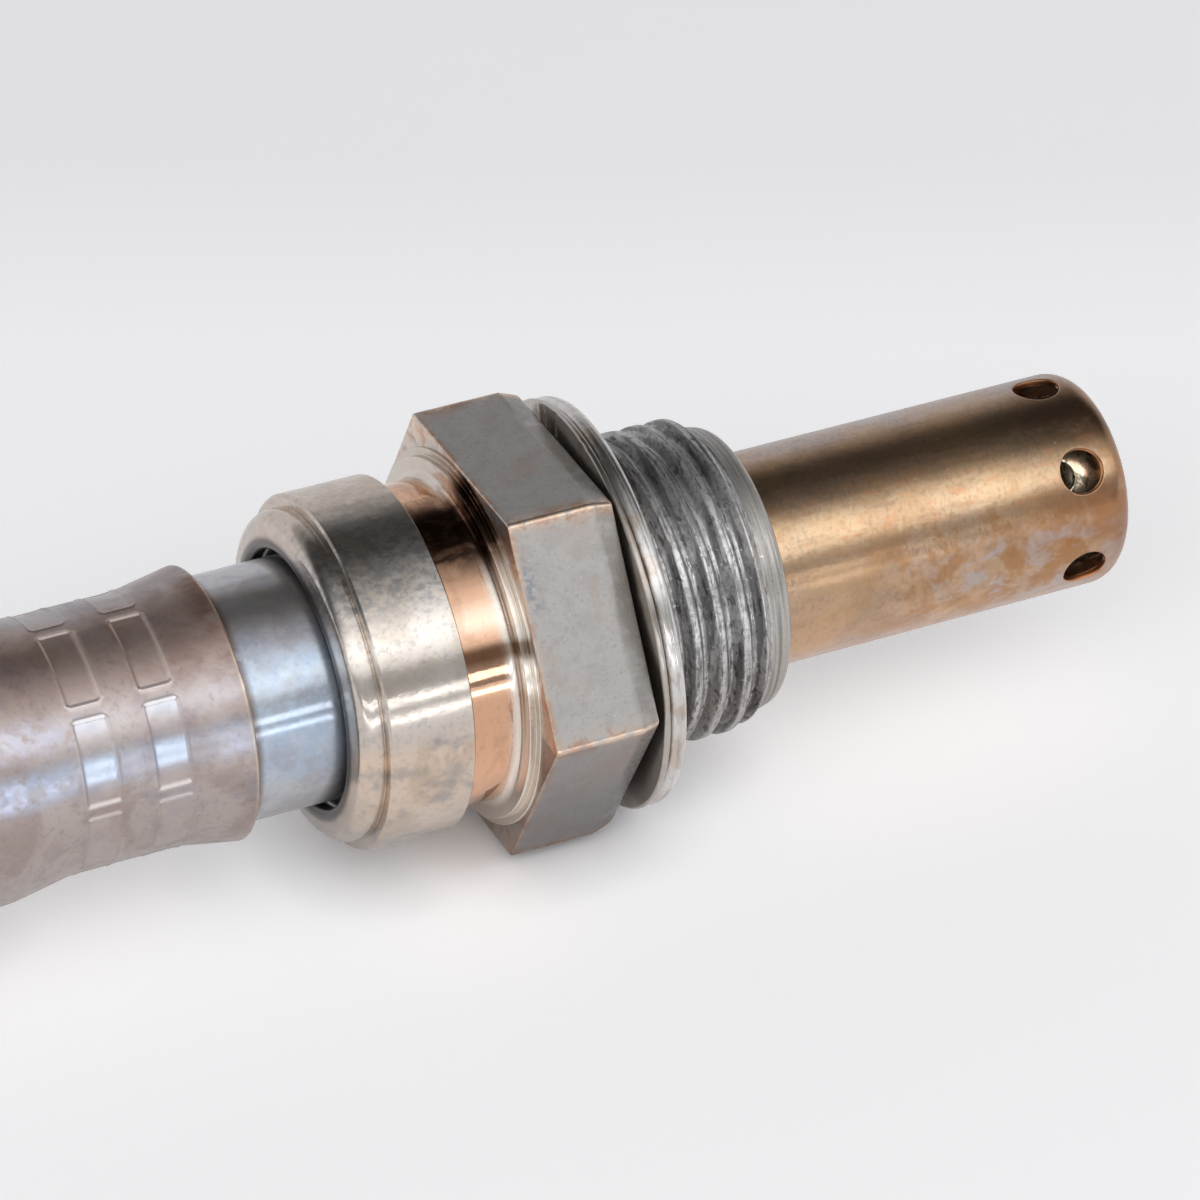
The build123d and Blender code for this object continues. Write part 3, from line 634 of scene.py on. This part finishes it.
graphite_thread = metal(
    "anti_seize_on_rolled_steel",
    "#dedddd",
    [
        ("#747374", 0.7, 3.4, (1.0, 0.05, 0.05), 0.46, 0.58, 0.12),
        ("#eae8e4", 0.4, 4.2, (1.0, 0.04, 0.04), 0.55, 0.64, -0.1),
        ("#8a898a", 0.5, 3.2, EVEN, 0.48, 0.62, 0.1),
        ("#4a4a4c", 0.65, 5.6, (1.0, 0.22, 0.22), 0.54, 0.64, 0.1),
        # Painted glints: white specks in the front band, where the lamps reflect.
        (
            "#f4f2ee", 0.9, 4.8, (1.0, 0.7, 0.7), 0.6, 0.66, -0.2,
            ("girth", -60, 80, [(-60, 0.3), (-20, 1.0), (40, 1.0), (80, 0.2)]),
        ),
        (
            "#cecac5", 1.0, 0.5, EVEN, 0.0, 0.1, 0.05,
            ("x", 5.6, 8, [(5.6, 0.0), (6.4, 0.0), (6.7, 1.0), (8, 1.0)]),
        ),
        (
            "#8f8c89", 0.7, 3.6, (1.0, 0.03, 0.03), 0.44, 0.6, 0.1,
            ("x", 5.6, 8, [(5.6, 0.0), (6.4, 0.0), (6.7, 1.0), (8, 1.0)]),
        ),
    ],
    roughness=0.22,
    haze=(0.5, 0.6),
    relief=[(4.0, (1.0, 0.05, 0.05), 0.006), (5.0, EVEN, 0.005)],
    # Painted shade by side: darker underneath and somewhat on top, brightest where the softbox reflects.
    girth=(
        -180, 180,
        [
            (-180, "#d8d6d4"), (-60, "#b8b4b0"), (-20, "#d8d4d0"), (10, "#f0f0f0"), (36, "#ffffff"),
            (70, "#ffffff"), (88, "#dedede"), (118, "#dcdcdc"), (180, "#e8e6e4"),
        ],
    ),
)
thread_mesh = grid_mesh("shell_thread", np.concatenate([outer, inner]), True, True)
add_piece("shell_thread", thread_mesh, graphite_thread, "shell_steel", "metal_shell")

# ---- crush gasket -----------------------------------------------------------------------------
# A strip of steel sheet folded three deep and rolled into a ring, open at its rim towards the hex.  The
# new ring is loose on the neck: it leans, with its upper front against the hex, and its rim is wrinkled.


def sheet_profile(centre, thickness):
    """Closed outline of a sheet that follows a centre line: the line moved half a thickness along its
    own normal to either side, with a half-round end."""
    ahead = np.gradient(centre, axis=0)
    ahead = ahead / np.linalg.norm(ahead, axis=1, keepdims=True)
    normal = np.column_stack([-ahead[:, 1], ahead[:, 0]])
    half = thickness / 2
    turn = np.radians(np.linspace(80, -80, 7))[:, None]
    end = centre[-1] + half * (np.sin(turn) * normal[-1] + np.cos(turn) * ahead[-1])
    start = centre[0] - half * (np.sin(turn) * normal[0] + np.cos(turn) * ahead[0])
    return np.concatenate([centre + half * normal, end, (centre - half * normal)[::-1], start])


GASKET_LEAN = 2.9
LEAN_SIDE = 53.0
GASKET_SHIFT = 0.1
SHEET = 0.4
DENT = 0.03
GASKET_COLUMNS = 640
GASKET = [
    (-0.75, 8.85),
    (-0.2, 9.4, 0.275),
    (-0.2, 11.6, 0.345),
    (-0.9, 11.6, 0.345),
    (-0.9, 8.3, 0.345),
    (-1.6, 8.3, 0.345),
    (-1.5, 10.4, 0.5),
    (-1.32, 11.66),
]
bright_gasket = metal(
    "worn_steel_sheet",
    "#dad7d4",
    [
        ("#b39a82", 0.5, 0.5, EVEN, 0.48, 0.64, 0.04),
        ("#8a8a8c", 0.4, 2.4, (1.6, 0.6, 0.6), 0.52, 0.66, 0.1),
        ("#a39a90", 0.6, 0.5, EVEN, 0.1, 0.3, 0.1, ("behind_fold", 0, 1, [(0, 0.0), (1, 1.0)])),
    ],
    roughness=0.16,
    haze=(0.3, 0.4),
    relief=[(1.8, (1.6, 0.5, 0.5), 0.006)],
)
gasket_line = rounded_path(GASKET, 8, closed=False)
gasket_points = turned(sheet_profile(gasket_line, SHEET), GASKET_COLUMNS)
reach = np.hypot(gasket_points[..., 1], gasket_points[..., 2])
turn = np.arctan2(gasket_points[..., 2], -gasket_points[..., 1])
rim = np.clip((-1.2 - gasket_points[..., 0]) / 0.2, 0, 1) * np.clip((reach - 9.6) / 1.5, 0, 1)
dents = np.sin(57 * turn + 2 * np.sin(5 * turn)) * np.clip(np.sin(23 * turn) + np.sin(14 * turn + 1.0), 0, 1)
gasket_points[..., 0] += DENT * rim * dents * np.clip(0.9 - 1.3 * np.cos(turn), 0, 1)
behind_fold = (gasket_points[..., 0] < -1.2) & (reach > 9.6)
lean_side = np.radians(LEAN_SIDE)
lean = -gasket_points[..., 1] * np.cos(lean_side) + gasket_points[..., 2] * np.sin(lean_side)
gasket_points[..., 0] += GASKET_SHIFT - np.tan(np.radians(GASKET_LEAN)) * lean
gasket_mesh = grid_mesh("gasket", gasket_points, True, True)
fold_values = gasket_mesh.attributes.new("behind_fold", "FLOAT", "POINT").data
fold_values.foreach_set("value", behind_fold.astype(float).ravel())
add_piece("gasket", gasket_mesh, bright_gasket, "gasket_steel", "gasket_ring")

# ---- protector tubes --------------------------------------------------------------------------
# Two deep-drawn stainless cups, one in the other, each with six punched gas holes near its closed
# end.  The hot exhaust side of the metal is tinted bronze.

HOLES = 6
HOLE_ANGLE = 37.8
SIDE = 24
RISE = 10
RIM_R = 6.95


def pierced_band(radius, wall, middle_x, half_length, hole_r, edge=0.1):
    """Ring of tube wall with round holes, as one closed-edged grid of points for each hole.

    Each hole has its own patch: a grid of rays from the hole's edge out to the patch's rectangle.
    Along a ray the distance from the hole's centre goes from the rectangle inside, down the bore
    with its two rounded edges, and back out to the rectangle outside; round the hole the rays are
    spaced by the rectangle's own points, so that neighbouring patches and rows meet.
    """
    half_arc = np.pi / HOLES
    u = np.linspace(-1, 1, SIDE + 1)[:-1]
    v = np.linspace(-1, 1, RISE + 1)[:-1]
    border = np.concatenate(
        [
            np.column_stack([u, -np.ones(SIDE)]),
            np.column_stack([np.ones(RISE), v]),
            np.column_stack([-u, np.ones(SIDE)]),
            np.column_stack([-np.ones(RISE), -v]),
        ]
    )
    arc_length = half_arc * radius
    rectangle = border * [arc_length, half_length]
    toward = rectangle / np.linalg.norm(rectangle, axis=1, keepdims=True)
    spread = np.array([1.0, 0.72, 0.48, 0.28, 0.12, 0.03])
    turn = np.radians(np.linspace(0, 90, 5))
    rise = np.concatenate([edge * (1 - np.cos(turn)), wall - edge * (1 - np.cos(turn[::-1]))])
    widen = np.concatenate([edge * (1 - np.sin(turn)), edge * (1 - np.sin(turn[::-1]))])
    ring_in = [toward * (hole_r + edge) * (1 - s) + rectangle * s for s in spread]
    bore = [toward * (hole_r + w) for w in widen]
    plan = np.array(ring_in + bore + ring_in[::-1])
    depth = np.concatenate([np.zeros(len(spread)), rise, np.full(len(spread), wall)])[:, None]
    flat_arc, flat_x = plan[..., 0], plan[..., 1]
    meshes = []
    for number in range(HOLES):
        angle = np.radians(HOLE_ANGLE + number * 360 / HOLES) + flat_arc / radius
        r = radius - wall + depth
        meshes.append(np.stack([middle_x + flat_x, -r * np.cos(angle), r * np.sin(angle)], -1))
    return meshes


def join_grids(name, grids):
    """One mesh from several grids (points, wrap rows, wrap columns), welded where they meet."""
    work = bmesh.new()
    for points, wrap_rows, wrap_columns in grids:
        part = grid_mesh(name, points, wrap_rows, wrap_columns)
        work.from_mesh(part)
        bpy.data.meshes.remove(part)
    bmesh.ops.remove_doubles(work, verts=work.verts, dist=2e-7)
    mesh = bpy.data.meshes.new(name)
    work.to_mesh(mesh)
    work.free()
    return mesh


def cup(name, radius, wall, tip_x, rounding, seat_x, hole_x, hole_r, half_length):
    """A closed cup: a flanged rim, a plain tube, the pierced band, and the rounded end with its poles."""
    count = HOLES * SIDE
    first = HOLE_ANGLE - 180 / HOLES
    band_rear, band_front = hole_x - half_length, hole_x + half_length
    bore = radius - wall
    rim = [(band_rear, bore), (seat_x + wall, bore), (seat_x, bore + 0.02), (seat_x, RIM_R)]
    rim += [(seat_x + wall, RIM_R), (seat_x + wall, radius)]
    tube_x = np.linspace(seat_x + wall + 0.2, band_rear, 24)
    rear = np.concatenate([np.array(rim), np.column_stack([tube_x, np.full(24, radius)])])
    turn = np.radians(np.linspace(0, 90, 15))
    outer_end = [tip_x - rounding + rounding * np.sin(turn), radius - rounding + rounding * np.cos(turn)]
    outer_end = np.column_stack(outer_end)
    inside = max(rounding - wall, 0.05)
    inner_end = [tip_x - wall - inside + inside * np.sin(turn), bore - inside + inside * np.cos(turn)]
    inner_end = np.column_stack(inner_end)
    flat = (radius - rounding) * np.array([0.97, 0.8, 0.6, 0.4, 0.2, 0.0])
    front = np.concatenate(
        [
            [(band_front, radius)],
            outer_end,
            np.column_stack([np.full(6, tip_x), flat]),
            np.column_stack([np.full(6, tip_x - wall), flat[::-1]]),
            inner_end[::-1],
            [(band_front, bore)],
        ]
    )
    grids = [(patch, False, True) for patch in pierced_band(radius, wall, hole_x, half_length, hole_r)]
    grids += [(turned(rear, count, first), False, True), (turned(front, count, first), False, True)]
    return join_grids(name, grids)


bronze = metal(
    "heat_tinted_stainless",
    "#cbab90",
    [
        ("#a38f7a", 0.5, 0.5, (0.5, 1.0, 1.0), 0.42, 0.62, 0.03),
        # Painted reflection: paler grey-lilac on top and underneath.
        (
            "#ccc4c2", 0.8, 0.6, EVEN, 0.1, 0.5, 0.15,
            (
                "girth", -90, 128,
                [(-90, 1.0), (-44, 0.7), (-24, 0.0), (88, 0.0), (100, 0.6), (112, 1.0), (128, 1.0)],
            ),
        ),
        # Painted highlight: golden where the softbox reflects.
        (
            "#e6ccaa", 0.7, 0.8, (0.4, 1.0, 1.0), 0.3, 0.6, -0.05,
            ("girth", 24, 62, [(24, 0.0), (34, 1.0), (46, 1.0), (62, 0.0)]),
        ),
        ("#8c7a68", 0.4, 5.0, (0.8, 0.6, 0.6), 0.46, 0.66, 0.08),
        ("#cfa878", 0.3, 0.35, (0.6, 1.0, 1.0), 0.42, 0.6, 0.0),
        (
            "#a8743f", 0.75, 0.42, EVEN, 0.46, 0.58, 0.1,
            ("x", 12, 31, [(12, 0.0), (16, 0.7), (22, 0.8), (31, 1.0)]),
            ("girth", -60, 60, [(-60, 0.1), (-30, 0.8), (20, 1.0), (36, 0.5), (60, 0.0)]),
        ),
        (
            "#bcb8ba", 0.8, 0.6, (0.8, 1.1, 1.1), 0.48, 0.64, 0.25,
            ("x", 15, 31, [(15, 0.0), (21, 1.0), (29, 1.0), (31, 0.2)]),
            ("girth", -60, 60, [(-60, 0.0), (-30, 0.8), (4, 1.0), (22, 0.0), (60, 0.0)]),
        ),
        # Painted shade: the dark reflected band drawn darker towards the tip.
        (
            "#6a5844", 0.75, 0.5, EVEN, 0.2, 0.5, 0.05,
            ("x", 22, 31, [(22, 0.0), (27, 0.8), (29.4, 1.0), (31, 0.3)]),
            ("girth", 36, 100, [(36, 0.0), (46, 0.6), (56, 1.0), (80, 0.8), (100, 0.0)]),
        ),
        (
            "#a86e3c", 0.8, 0.5, EVEN, 0.3, 0.55, 0.05,
            ("x", 22, 31, [(22, 0.0), (25, 0.7), (29, 0.9), (31, 0.3)]),
            ("girth", -10, 40, [(-10, 0.0), (2, 0.7), (20, 1.0), (32, 0.6), (40, 0.0)]),
        ),
        (
            "#d88e64", 0.35, 1.8, (0.5, 1.2, 1.2), 0.54, 0.66, 0.05,
            ("girth", 20, 70, [(20, 0.0), (30, 1.0), (52, 1.0), (70, 0.0)]),
        ),
        (
            "#c98a5c", 0.9, 0.5, EVEN, 0.0, 0.1, 0.0,
            ("reach", 5.6, 6.3, [(5.6, 1.0), (6.13, 1.0), (6.17, 0.0), (6.3, 0.0)]),
            ("x", 24, 31, [(24, 1.0), (29.15, 1.0), (29.25, 0.0), (31, 0.0)]),
        ),
        (
            "#dcd6cc", 0.6, 3.6, EVEN, 0.66, 0.72, 0.1,
            ("girth", 40, 120, [(40, 0.0), (60, 1.0), (110, 1.0), (120, 0.0)]),
        ),
        (
            "#9a6a4e", 0.5, 0.5, EVEN, 0.2, 0.5, 0.0,
            ("x", 24, 31, [(24, 0.0), (29.2, 0.4), (30.2, 1.0), (31, 1.0)]),
        ),
    ],
    roughness=0.2,
    haze=(0.42, 0.4),
    relief=[(2.4, (0.4, 1.2, 1.2), 0.003), (5.0, (1.0, 0.3, 0.3), 0.003)],
    # Painted shade by side: darker where the dark band reflects, 58 to 64 degrees.
    girth=(
        -180, 180,
        [
            (-180, "#e8e6e8"), (-60, "#f2eeee"), (-30, "#fbf8f6"), (20, "#f6f4f2"), (34, "#ffffff"),
            (50, "#fffdf8"), (58, "#cbc7c2"), (64, "#c8c6c4"), (76, "#e8e4de"), (84, "#fffaf4"),
            (104, "#ecebee"), (180, "#e8e6e8"),
        ],
    ),
)
outer_cup = cup(
    "protector_outer", radius=6.18, wall=0.4, tip_x=30.85, rounding=1.6, seat_x=0.8,
    hole_x=27.75, hole_r=1.32, half_length=1.45,
)
add_piece("protector_outer", outer_cup, bronze, "protector_steel", "outer_protector")
pale_bronze = metal(
    "tinted_inner_stainless",
    "#f6eed8",
    [
        ("#d6bf8c", 0.5, 0.8, EVEN, 0.45, 0.6, 0.05),
        ("#4a3a24", 0.8, 1.4, (1.0, 0.6, 0.6), 0.52, 0.6, 0.2),
    ],
    roughness=0.14,
    haze=(0.25, 0.5),
    relief=[(2.4, EVEN, 0.003)],
)
inner_cup = cup(
    "protector_inner", radius=4.9, wall=0.4, tip_x=30.35, rounding=0.6, seat_x=0.4,
    hole_x=26.85, hole_r=0.96, half_length=1.08,
)
add_piece("protector_inner", inner_cup, pale_bronze, "inner_protector_steel", "inner_protector")

# ---- inner casing -----------------------------------------------------------------------------
# Drawn stainless tube whose flange lies under the rolled lip.  Its bright stretch is tinted a pale
# steel blue, painted bluer where the lamps reflect; the rest is under the outer sleeve.

CASING = [
    (-16.47, 6.49),
    (-16.47, 8.25),
    (-16.91, 8.25),
    (-16.91, 6.94, 0.3),
    (-24.995, 6.94, 0.3),
    (-26.195, 6.15, 0.3),
    (-36.02, 6.15),
    (-36.02, 5.7),
    (-26.195, 5.7),
    (-24.995, 6.49),
]
blue_casing = metal(
    "blue_tinted_stainless",
    "#dededf",
    [
        ("#b8c8da", 0.35, 0.7, EVEN, 0.4, 0.64, 0.05),
        ("#98969a", 0.2, 3.0, EVEN, 0.48, 0.68, 0.1),
        ("#b8a8a2", 0.3, 0.6, EVEN, 0.46, 0.62, 0.0),
        # Painted highlight: pale blue where the softbox reflects.
        (
            "#e6effa", 0.35, 1.7, EVEN, 0.44, 0.66, 0.2,
            ("girth", -60, 70, [(-60, 0.0), (10, 0.4), (30, 1.0), (56, 1.0), (70, 0.0)]),
        ),
        # Painted shade and painted reflection of the sleeve: brown where the casing goes under it.
        (
            "#86664e", 0.7, 0.6, (0.5, 1.0, 1.0), 0.2, 0.5, 0.1,
            ("x", -26, -22, [(-26, 1.0), (-23.6, 1.0), (-23.25, 0.0), (-22, 0.0)]),
        ),
    ],
    roughness=0.11,
    haze=(0.52, 0.5),
    relief=[(1.8, EVEN, 0.0014)],
    # Painted light and shade by side: bluish in the lamps' bands, darker underneath.
    girth=(
        -180, 180,
        [
            (-180, "#ecebeb"), (-60, "#c4c4c4"), (-40, "#cccccc"), (-20, "#d6d6d8"), (-6, "#dce4ee"),
            (12, "#d8e4f2"), (18, "#dceafa"), (30, "#eef6ff"), (44, "#e0eefc"), (56, "#e8e8f0"),
            (70, "#f8f0ec"), (100, "#f0eef0"), (180, "#ecebeb"),
        ],
    ),
)
casing_mesh = grid_mesh("casing", turned(rounded_path(CASING)), True, True)
add_piece("casing", casing_mesh, blue_casing, "casing_steel", "inner_casing")

# ---- outer sleeve -----------------------------------------------------------------------------
# Drawn stainless sleeve, flared at its front and crimped on to the vent filter: two rows of pressed
# pads with a raised fin left between the jaws.  Satin, tinted mauve brown.

WAIST_R = 7.17
SLEEVE = [
    (-23.895, 7.8, 0.2),
    (-27.495, WAIST_R, 6.0),
    (-33.745, WAIST_R, 6.0),
    (-37.495, 7.85, 6.0),
    (-46.095, 7.85, 0.3),
    (-46.495, 7.45, 0.3),
    (-48.095, 7.45, 0.3),
    (-48.495, 7.85, 0.3),
    (-50.895, 7.85, 0.12),
]
SLEEVE_WALL = 0.5
PAD_ROWS = ((-29.645, -27.495), (-33.715, -31.565))
PADS = 8
FIN_ANGLE = 0.5
FIN_WIDTH = 0.6
PAD_DEPTH = 0.06
PAD_RIDGE = 0.045
PAD_EDGE = 0.18
PAD_ROUND = 0.36

outside = rounded_path([(-23.895, 7.3, 0.05), *SLEEVE, (-50.895, 7.35, 0.05)], 10, closed=False)
steps_x = [np.arange(-46.0, -24.2, 0.3)]
for rear_edge, front_edge in PAD_ROWS:
    steps_x.append(np.linspace(rear_edge - 0.02, rear_edge + PAD_ROUND, 9))
    steps_x.append(np.linspace(front_edge - 0.02, front_edge - PAD_ROUND, 9))
steps_x = np.concatenate(steps_x)
body = outside[(outside[:, 0] < -24.0) & (outside[:, 0] > -37.0)]
steps_x = steps_x[(steps_x < body[:, 0].max()) & (steps_x > body[:, 0].min())]
order = np.argsort(-body[:, 0])
extra = np.column_stack([steps_x, np.interp(-steps_x, -body[order, 0], body[order, 1])])
middle = np.concatenate([body, extra])
middle = middle[np.argsort(-middle[:, 0])]
start = outside[: np.argmax(outside[:, 0] < -24.0)]
rest = outside[len(start) + len(body) :]
path = np.concatenate([start, middle, rest])
fin_half = np.degrees(FIN_WIDTH / 2 / WAIST_R)
round_angle = np.degrees(PAD_ROUND / WAIST_R)
offsets = np.linspace(fin_half, fin_half + round_angle, 9)
offsets = np.concatenate([-offsets[::-1], [-fin_half / 2, 0, fin_half / 2], offsets])
pad_span = np.linspace(fin_half + round_angle, 45 - fin_half - round_angle, 18)[1:-1]
girth = (FIN_ANGLE + np.arange(PADS)[:, None] * 45 + np.concatenate([offsets, pad_span])[None, :]).ravel()

from_fin = np.abs((girth - FIN_ANGLE + 22.5) % 45 - 22.5)
in_girth = (from_fin - fin_half) * np.radians(WAIST_R)
# The outlines round the pads are a painted highlight: full along the fins, weaker across the pads' ends,
# least at their rear ends, less again outside 46 to 180 degrees.
beside_fin = np.where((girth > 46) & (girth < 180), 1.0, 0.3)
sunk = pressed = worn = 0
for low, high in PAD_ROWS:
    in_row = np.minimum(path[:, 0] - low, high - path[:, 0])
    beside = np.clip(PAD_ROUND - in_row[:, None], 0, None)
    ahead = np.clip(PAD_ROUND - in_girth[None, :], 0, None)
    inward = PAD_ROUND - np.hypot(beside, ahead)
    within = smooth_step((inward - 0.1) / PAD_EDGE)
    sunk = sunk + within * PAD_DEPTH - PAD_RIDGE * np.exp(-(((inward - 0.06) / 0.055) ** 2))
    pressed = pressed + within
    along_row = np.where(path[:, 0] - low < PAD_ROUND, 0.15, 0.6)[:, None] * beside_fin
    bright = np.where(ahead >= beside, 1.0, along_row)
    worn = worn + np.exp(-(((inward - 0.12) / 0.15) ** 2)) * bright
sleeve_r = path[:, 1, None] - sunk
turn = np.radians(girth)
sleeve_outer = np.stack([path[:, 0, None] + 0 * turn, -sleeve_r * np.cos(turn), sleeve_r * np.sin(turn)], -1)
inside = np.array([(x, r - SLEEVE_WALL) for x, r, _ in SLEEVE])[::-1]
inside_r = inside[:, 1, None] + 0 * turn
sleeve_inner = [inside[:, 0, None] + 0 * turn, -inside_r * np.cos(turn), inside_r * np.sin(turn)]
sleeve_inner = np.stack(sleeve_inner, -1)
mauve_sleeve = metal(
    "satin_tinted_stainless",
    "#cdc6c2",
    [
        ("#a08c84", 0.45, 0.3, EVEN, 0.44, 0.64, 0.0),
        ("#abacba", 0.45, 0.4, EVEN, 0.52, 0.68, -0.1),
        ("#8c8380", 0.3, 3.0, EVEN, 0.52, 0.7, 0.05),
        (
            "#8e6248", 0.6, 0.4, (0.3, 1.0, 1.0), 0.36, 0.56, 0.0,
            ("x", -28, -23.8, [(-28, 0.0), (-25.6, 0.1), (-24.5, 1.0), (-23.8, 1.0)]),
            ("girth", -60, 124, [(-60, 0.0), (10, 0.1), (40, 0.5), (60, 1.0), (96, 1.0), (124, 0.0)]),
        ),
        ("#d2cac6", 0.5, 1.3, EVEN, 0.3, 0.6, -0.2, ("pressed", 0, 1, [(0, 0.0), (1, 1.0)])),
        # Painted reflection: blue-white on the pads, in the bands where the strip lamps and the softbox
        # reflect.
        (
            "#e4f2ff", 0.8, 0.5, EVEN, 0.0, 0.1, -0.1,
            ("pressed", 0, 1, [(0, 0.0), (1, 1.0)]),
            (
                "girth", 0, 60,
                [
                    (0, 0.0), (13, 0.1), (16, 0.9), (24, 0.9), (27, 0.1), (33, 0.1), (41, 0.7), (45, 0.7),
                    (50, 0.0), (60, 0.0),
                ],
            ),
        ),
        # Painted reflection: a blue-white glow in the bands of the strip lamps and the softbox, strongest
        # behind the pads.
        (
            "#e2eaff", 0.55, 1.6, EVEN, 0.3, 0.6, -0.25,
            ("x", -38, -24, [(-38, 1.0), (-34.6, 0.9), (-33.6, 0.25), (-26.6, 0.2), (-25, 0.5), (-24, 0.2)]),
            (
                "girth", 0, 60,
                [
                    (0, 0.0), (10, 0.1), (15, 1.0), (24, 1.0), (29, 0.2), (36, 0.8), (43, 0.7), (50, 0.0),
                    (60, 0.0),
                ],
            ),
        ),
        # Painted highlight: white outlines round the pads, brightest from the front up to 50 degrees.
        (
            "#ffffff", 1.0, 0.9, EVEN, 0.2, 0.4, 0.4,
            ("worn", 0, 1, [(0, 0.0), (0.4, 0.3), (1, 1.0)]),
            (
                "girth", -60, 124,
                [(-60, 0.1), (-6, 0.4), (-1, 0.9), (50, 1.0), (88, 0.7), (92, 0.25), (124, 0.1)],
            ),
        ),
        (
            "#efe2cc", 0.8, 0.8, EVEN, 0.3, 0.5, -0.3,
            ("x", -24.4, -23.8, [(-24.4, 0.0), (-24.18, 0.0), (-24.04, 1.0), (-23.8, 1.0)]),
            ("girth", -60, 124, [(-60, 0.2), (-10, 0.4), (12, 1.0), (60, 1.0), (80, 0.5), (124, 0.2)]),
        ),
    ],
    roughness=0.25,
    haze=(0.62, 0.58),
    relief=[(1.6, EVEN, 0.004), (4.0, EVEN, 0.002)],
    # Painted light and shade by side: bluish where the strip lamps reflect, warmer in the dark band, darker
    # below.
    girth=(
        -180, 180,
        [
            (-180, "#f0ecea"), (-50, "#d0ccca"), (-10, "#e2dcda"), (8, "#ece6e4"), (14, "#e4e8f2"),
            (24, "#eaf0fa"), (30, "#faf4f4"), (42, "#faf8fa"), (56, "#ffeee8"), (84, "#ffece4"),
            (102, "#f4f5f8"), (180, "#f0ecea"),
        ],
    ),
)
sleeve_mesh = grid_mesh("sleeve", np.concatenate([sleeve_outer, sleeve_inner]), True, True)
# Stored shares: the pressed pads, and where their painted highlight lies.
for name, share in (("pressed", pressed), ("worn", worn)):
    values = np.concatenate([np.clip(share, 0, 1), 0 * inside_r])
    sleeve_mesh.attributes.new(name, "FLOAT", "POINT").data.foreach_set("value", values.ravel())
add_piece("sleeve", sleeve_mesh, mauve_sleeve, "sleeve_steel", "outer_sleeve")

# ---- pieces that keep their CAD shape ---------------------------------------------------------
# The grommet and all that is inside the sensor keep the shape of their solids, and get a material
# of their own.

hidden_steel = metal(
    "plain_hidden_metal",
    "#b9b5ae",
    [("#a29e98", 0.8, 0.8, EVEN, 0.45, 0.6, 0.03)],
    roughness=0.3,
    haze=(0.4, 0.5),
    relief=[(3.0, EVEN, 0.004)],
)


def matt(name, light, dark, scale, roughness, depth):
    """A matt ceramic, mineral or rubber surface: two near colours in a fine cloud, with a fine relief."""
    material, tree, output = new_material(name)
    place, _, _ = axis_places(tree)
    noise = {"Vector": place, "Scale": scale, "Detail": 5.0, "Roughness": 0.6}
    clouds = add_node(tree, "TexNoise", None, noise).outputs[0]
    colour = mixed(tree, clouds, linear(light), linear(dark))
    bump = add_node(tree, "Bump", None, {"Strength": 1.0, "Distance": depth * MM, "Height": clouds})
    rough = add_node(tree, "MapRange", None, {0: clouds, 3: roughness - 0.08, 4: roughness + 0.08})
    surface = {"Base Color": colour, "Roughness": rough.outputs[0], "Normal": bump.outputs[0]}
    skin = add_node(tree, "BsdfPrincipled", None, surface)
    tree.links.new(skin.outputs[0], output.inputs["Surface"])
    return material


KEPT = {
    "seat_ring": hidden_steel,
    "packing_ring": hidden_steel,
    "spring_washer": hidden_steel,
    "inner_electrode_contact": hidden_steel,
    "outer_electrode_contact": hidden_steel,
    "heater_contact_1": hidden_steel,
    "heater_contact_2": hidden_steel,
    "sensing_element": matt("fired_zirconia", "#eeece4", "#ddd9cc", 2.0, 0.55, 0.004),
    "talc_ring": matt("pressed_talc", "#dddcd6", "#c7c6c0", 3.0, 0.8, 0.01),
    "insulator": matt("fired_alumina", "#f1efe9", "#e3e0d8", 2.0, 0.5, 0.004),
    "vent_filter": matt("porous_ptfe", "#f0f0f0", "#e0e0e0", 4.0, 0.7, 0.01),
    "rear_grommet": matt("moulded_fluororubber", "#1c1c1d", "#2a2a2b", 2.5, 0.6, 0.01),
}
KEPT["terminal_separator"] = KEPT["heater_rod"] = KEPT["insulator"]
brass = metal(
    "nickel_plated_brass",
    "#d8cfae",
    [("#c8ba90", 0.8, 0.8, EVEN, 0.45, 0.6, 0.03)],
    roughness=0.2,
    haze=(0.3, 0.4),
    relief=[(3.0, EVEN, 0.003)],
)
for number in range(1, 5):
    KEPT[f"lead_terminal_{number}"] = brass
for name, material in KEPT.items():
    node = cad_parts[name]
    node.data.materials.clear()
    node.data.materials.append(material)
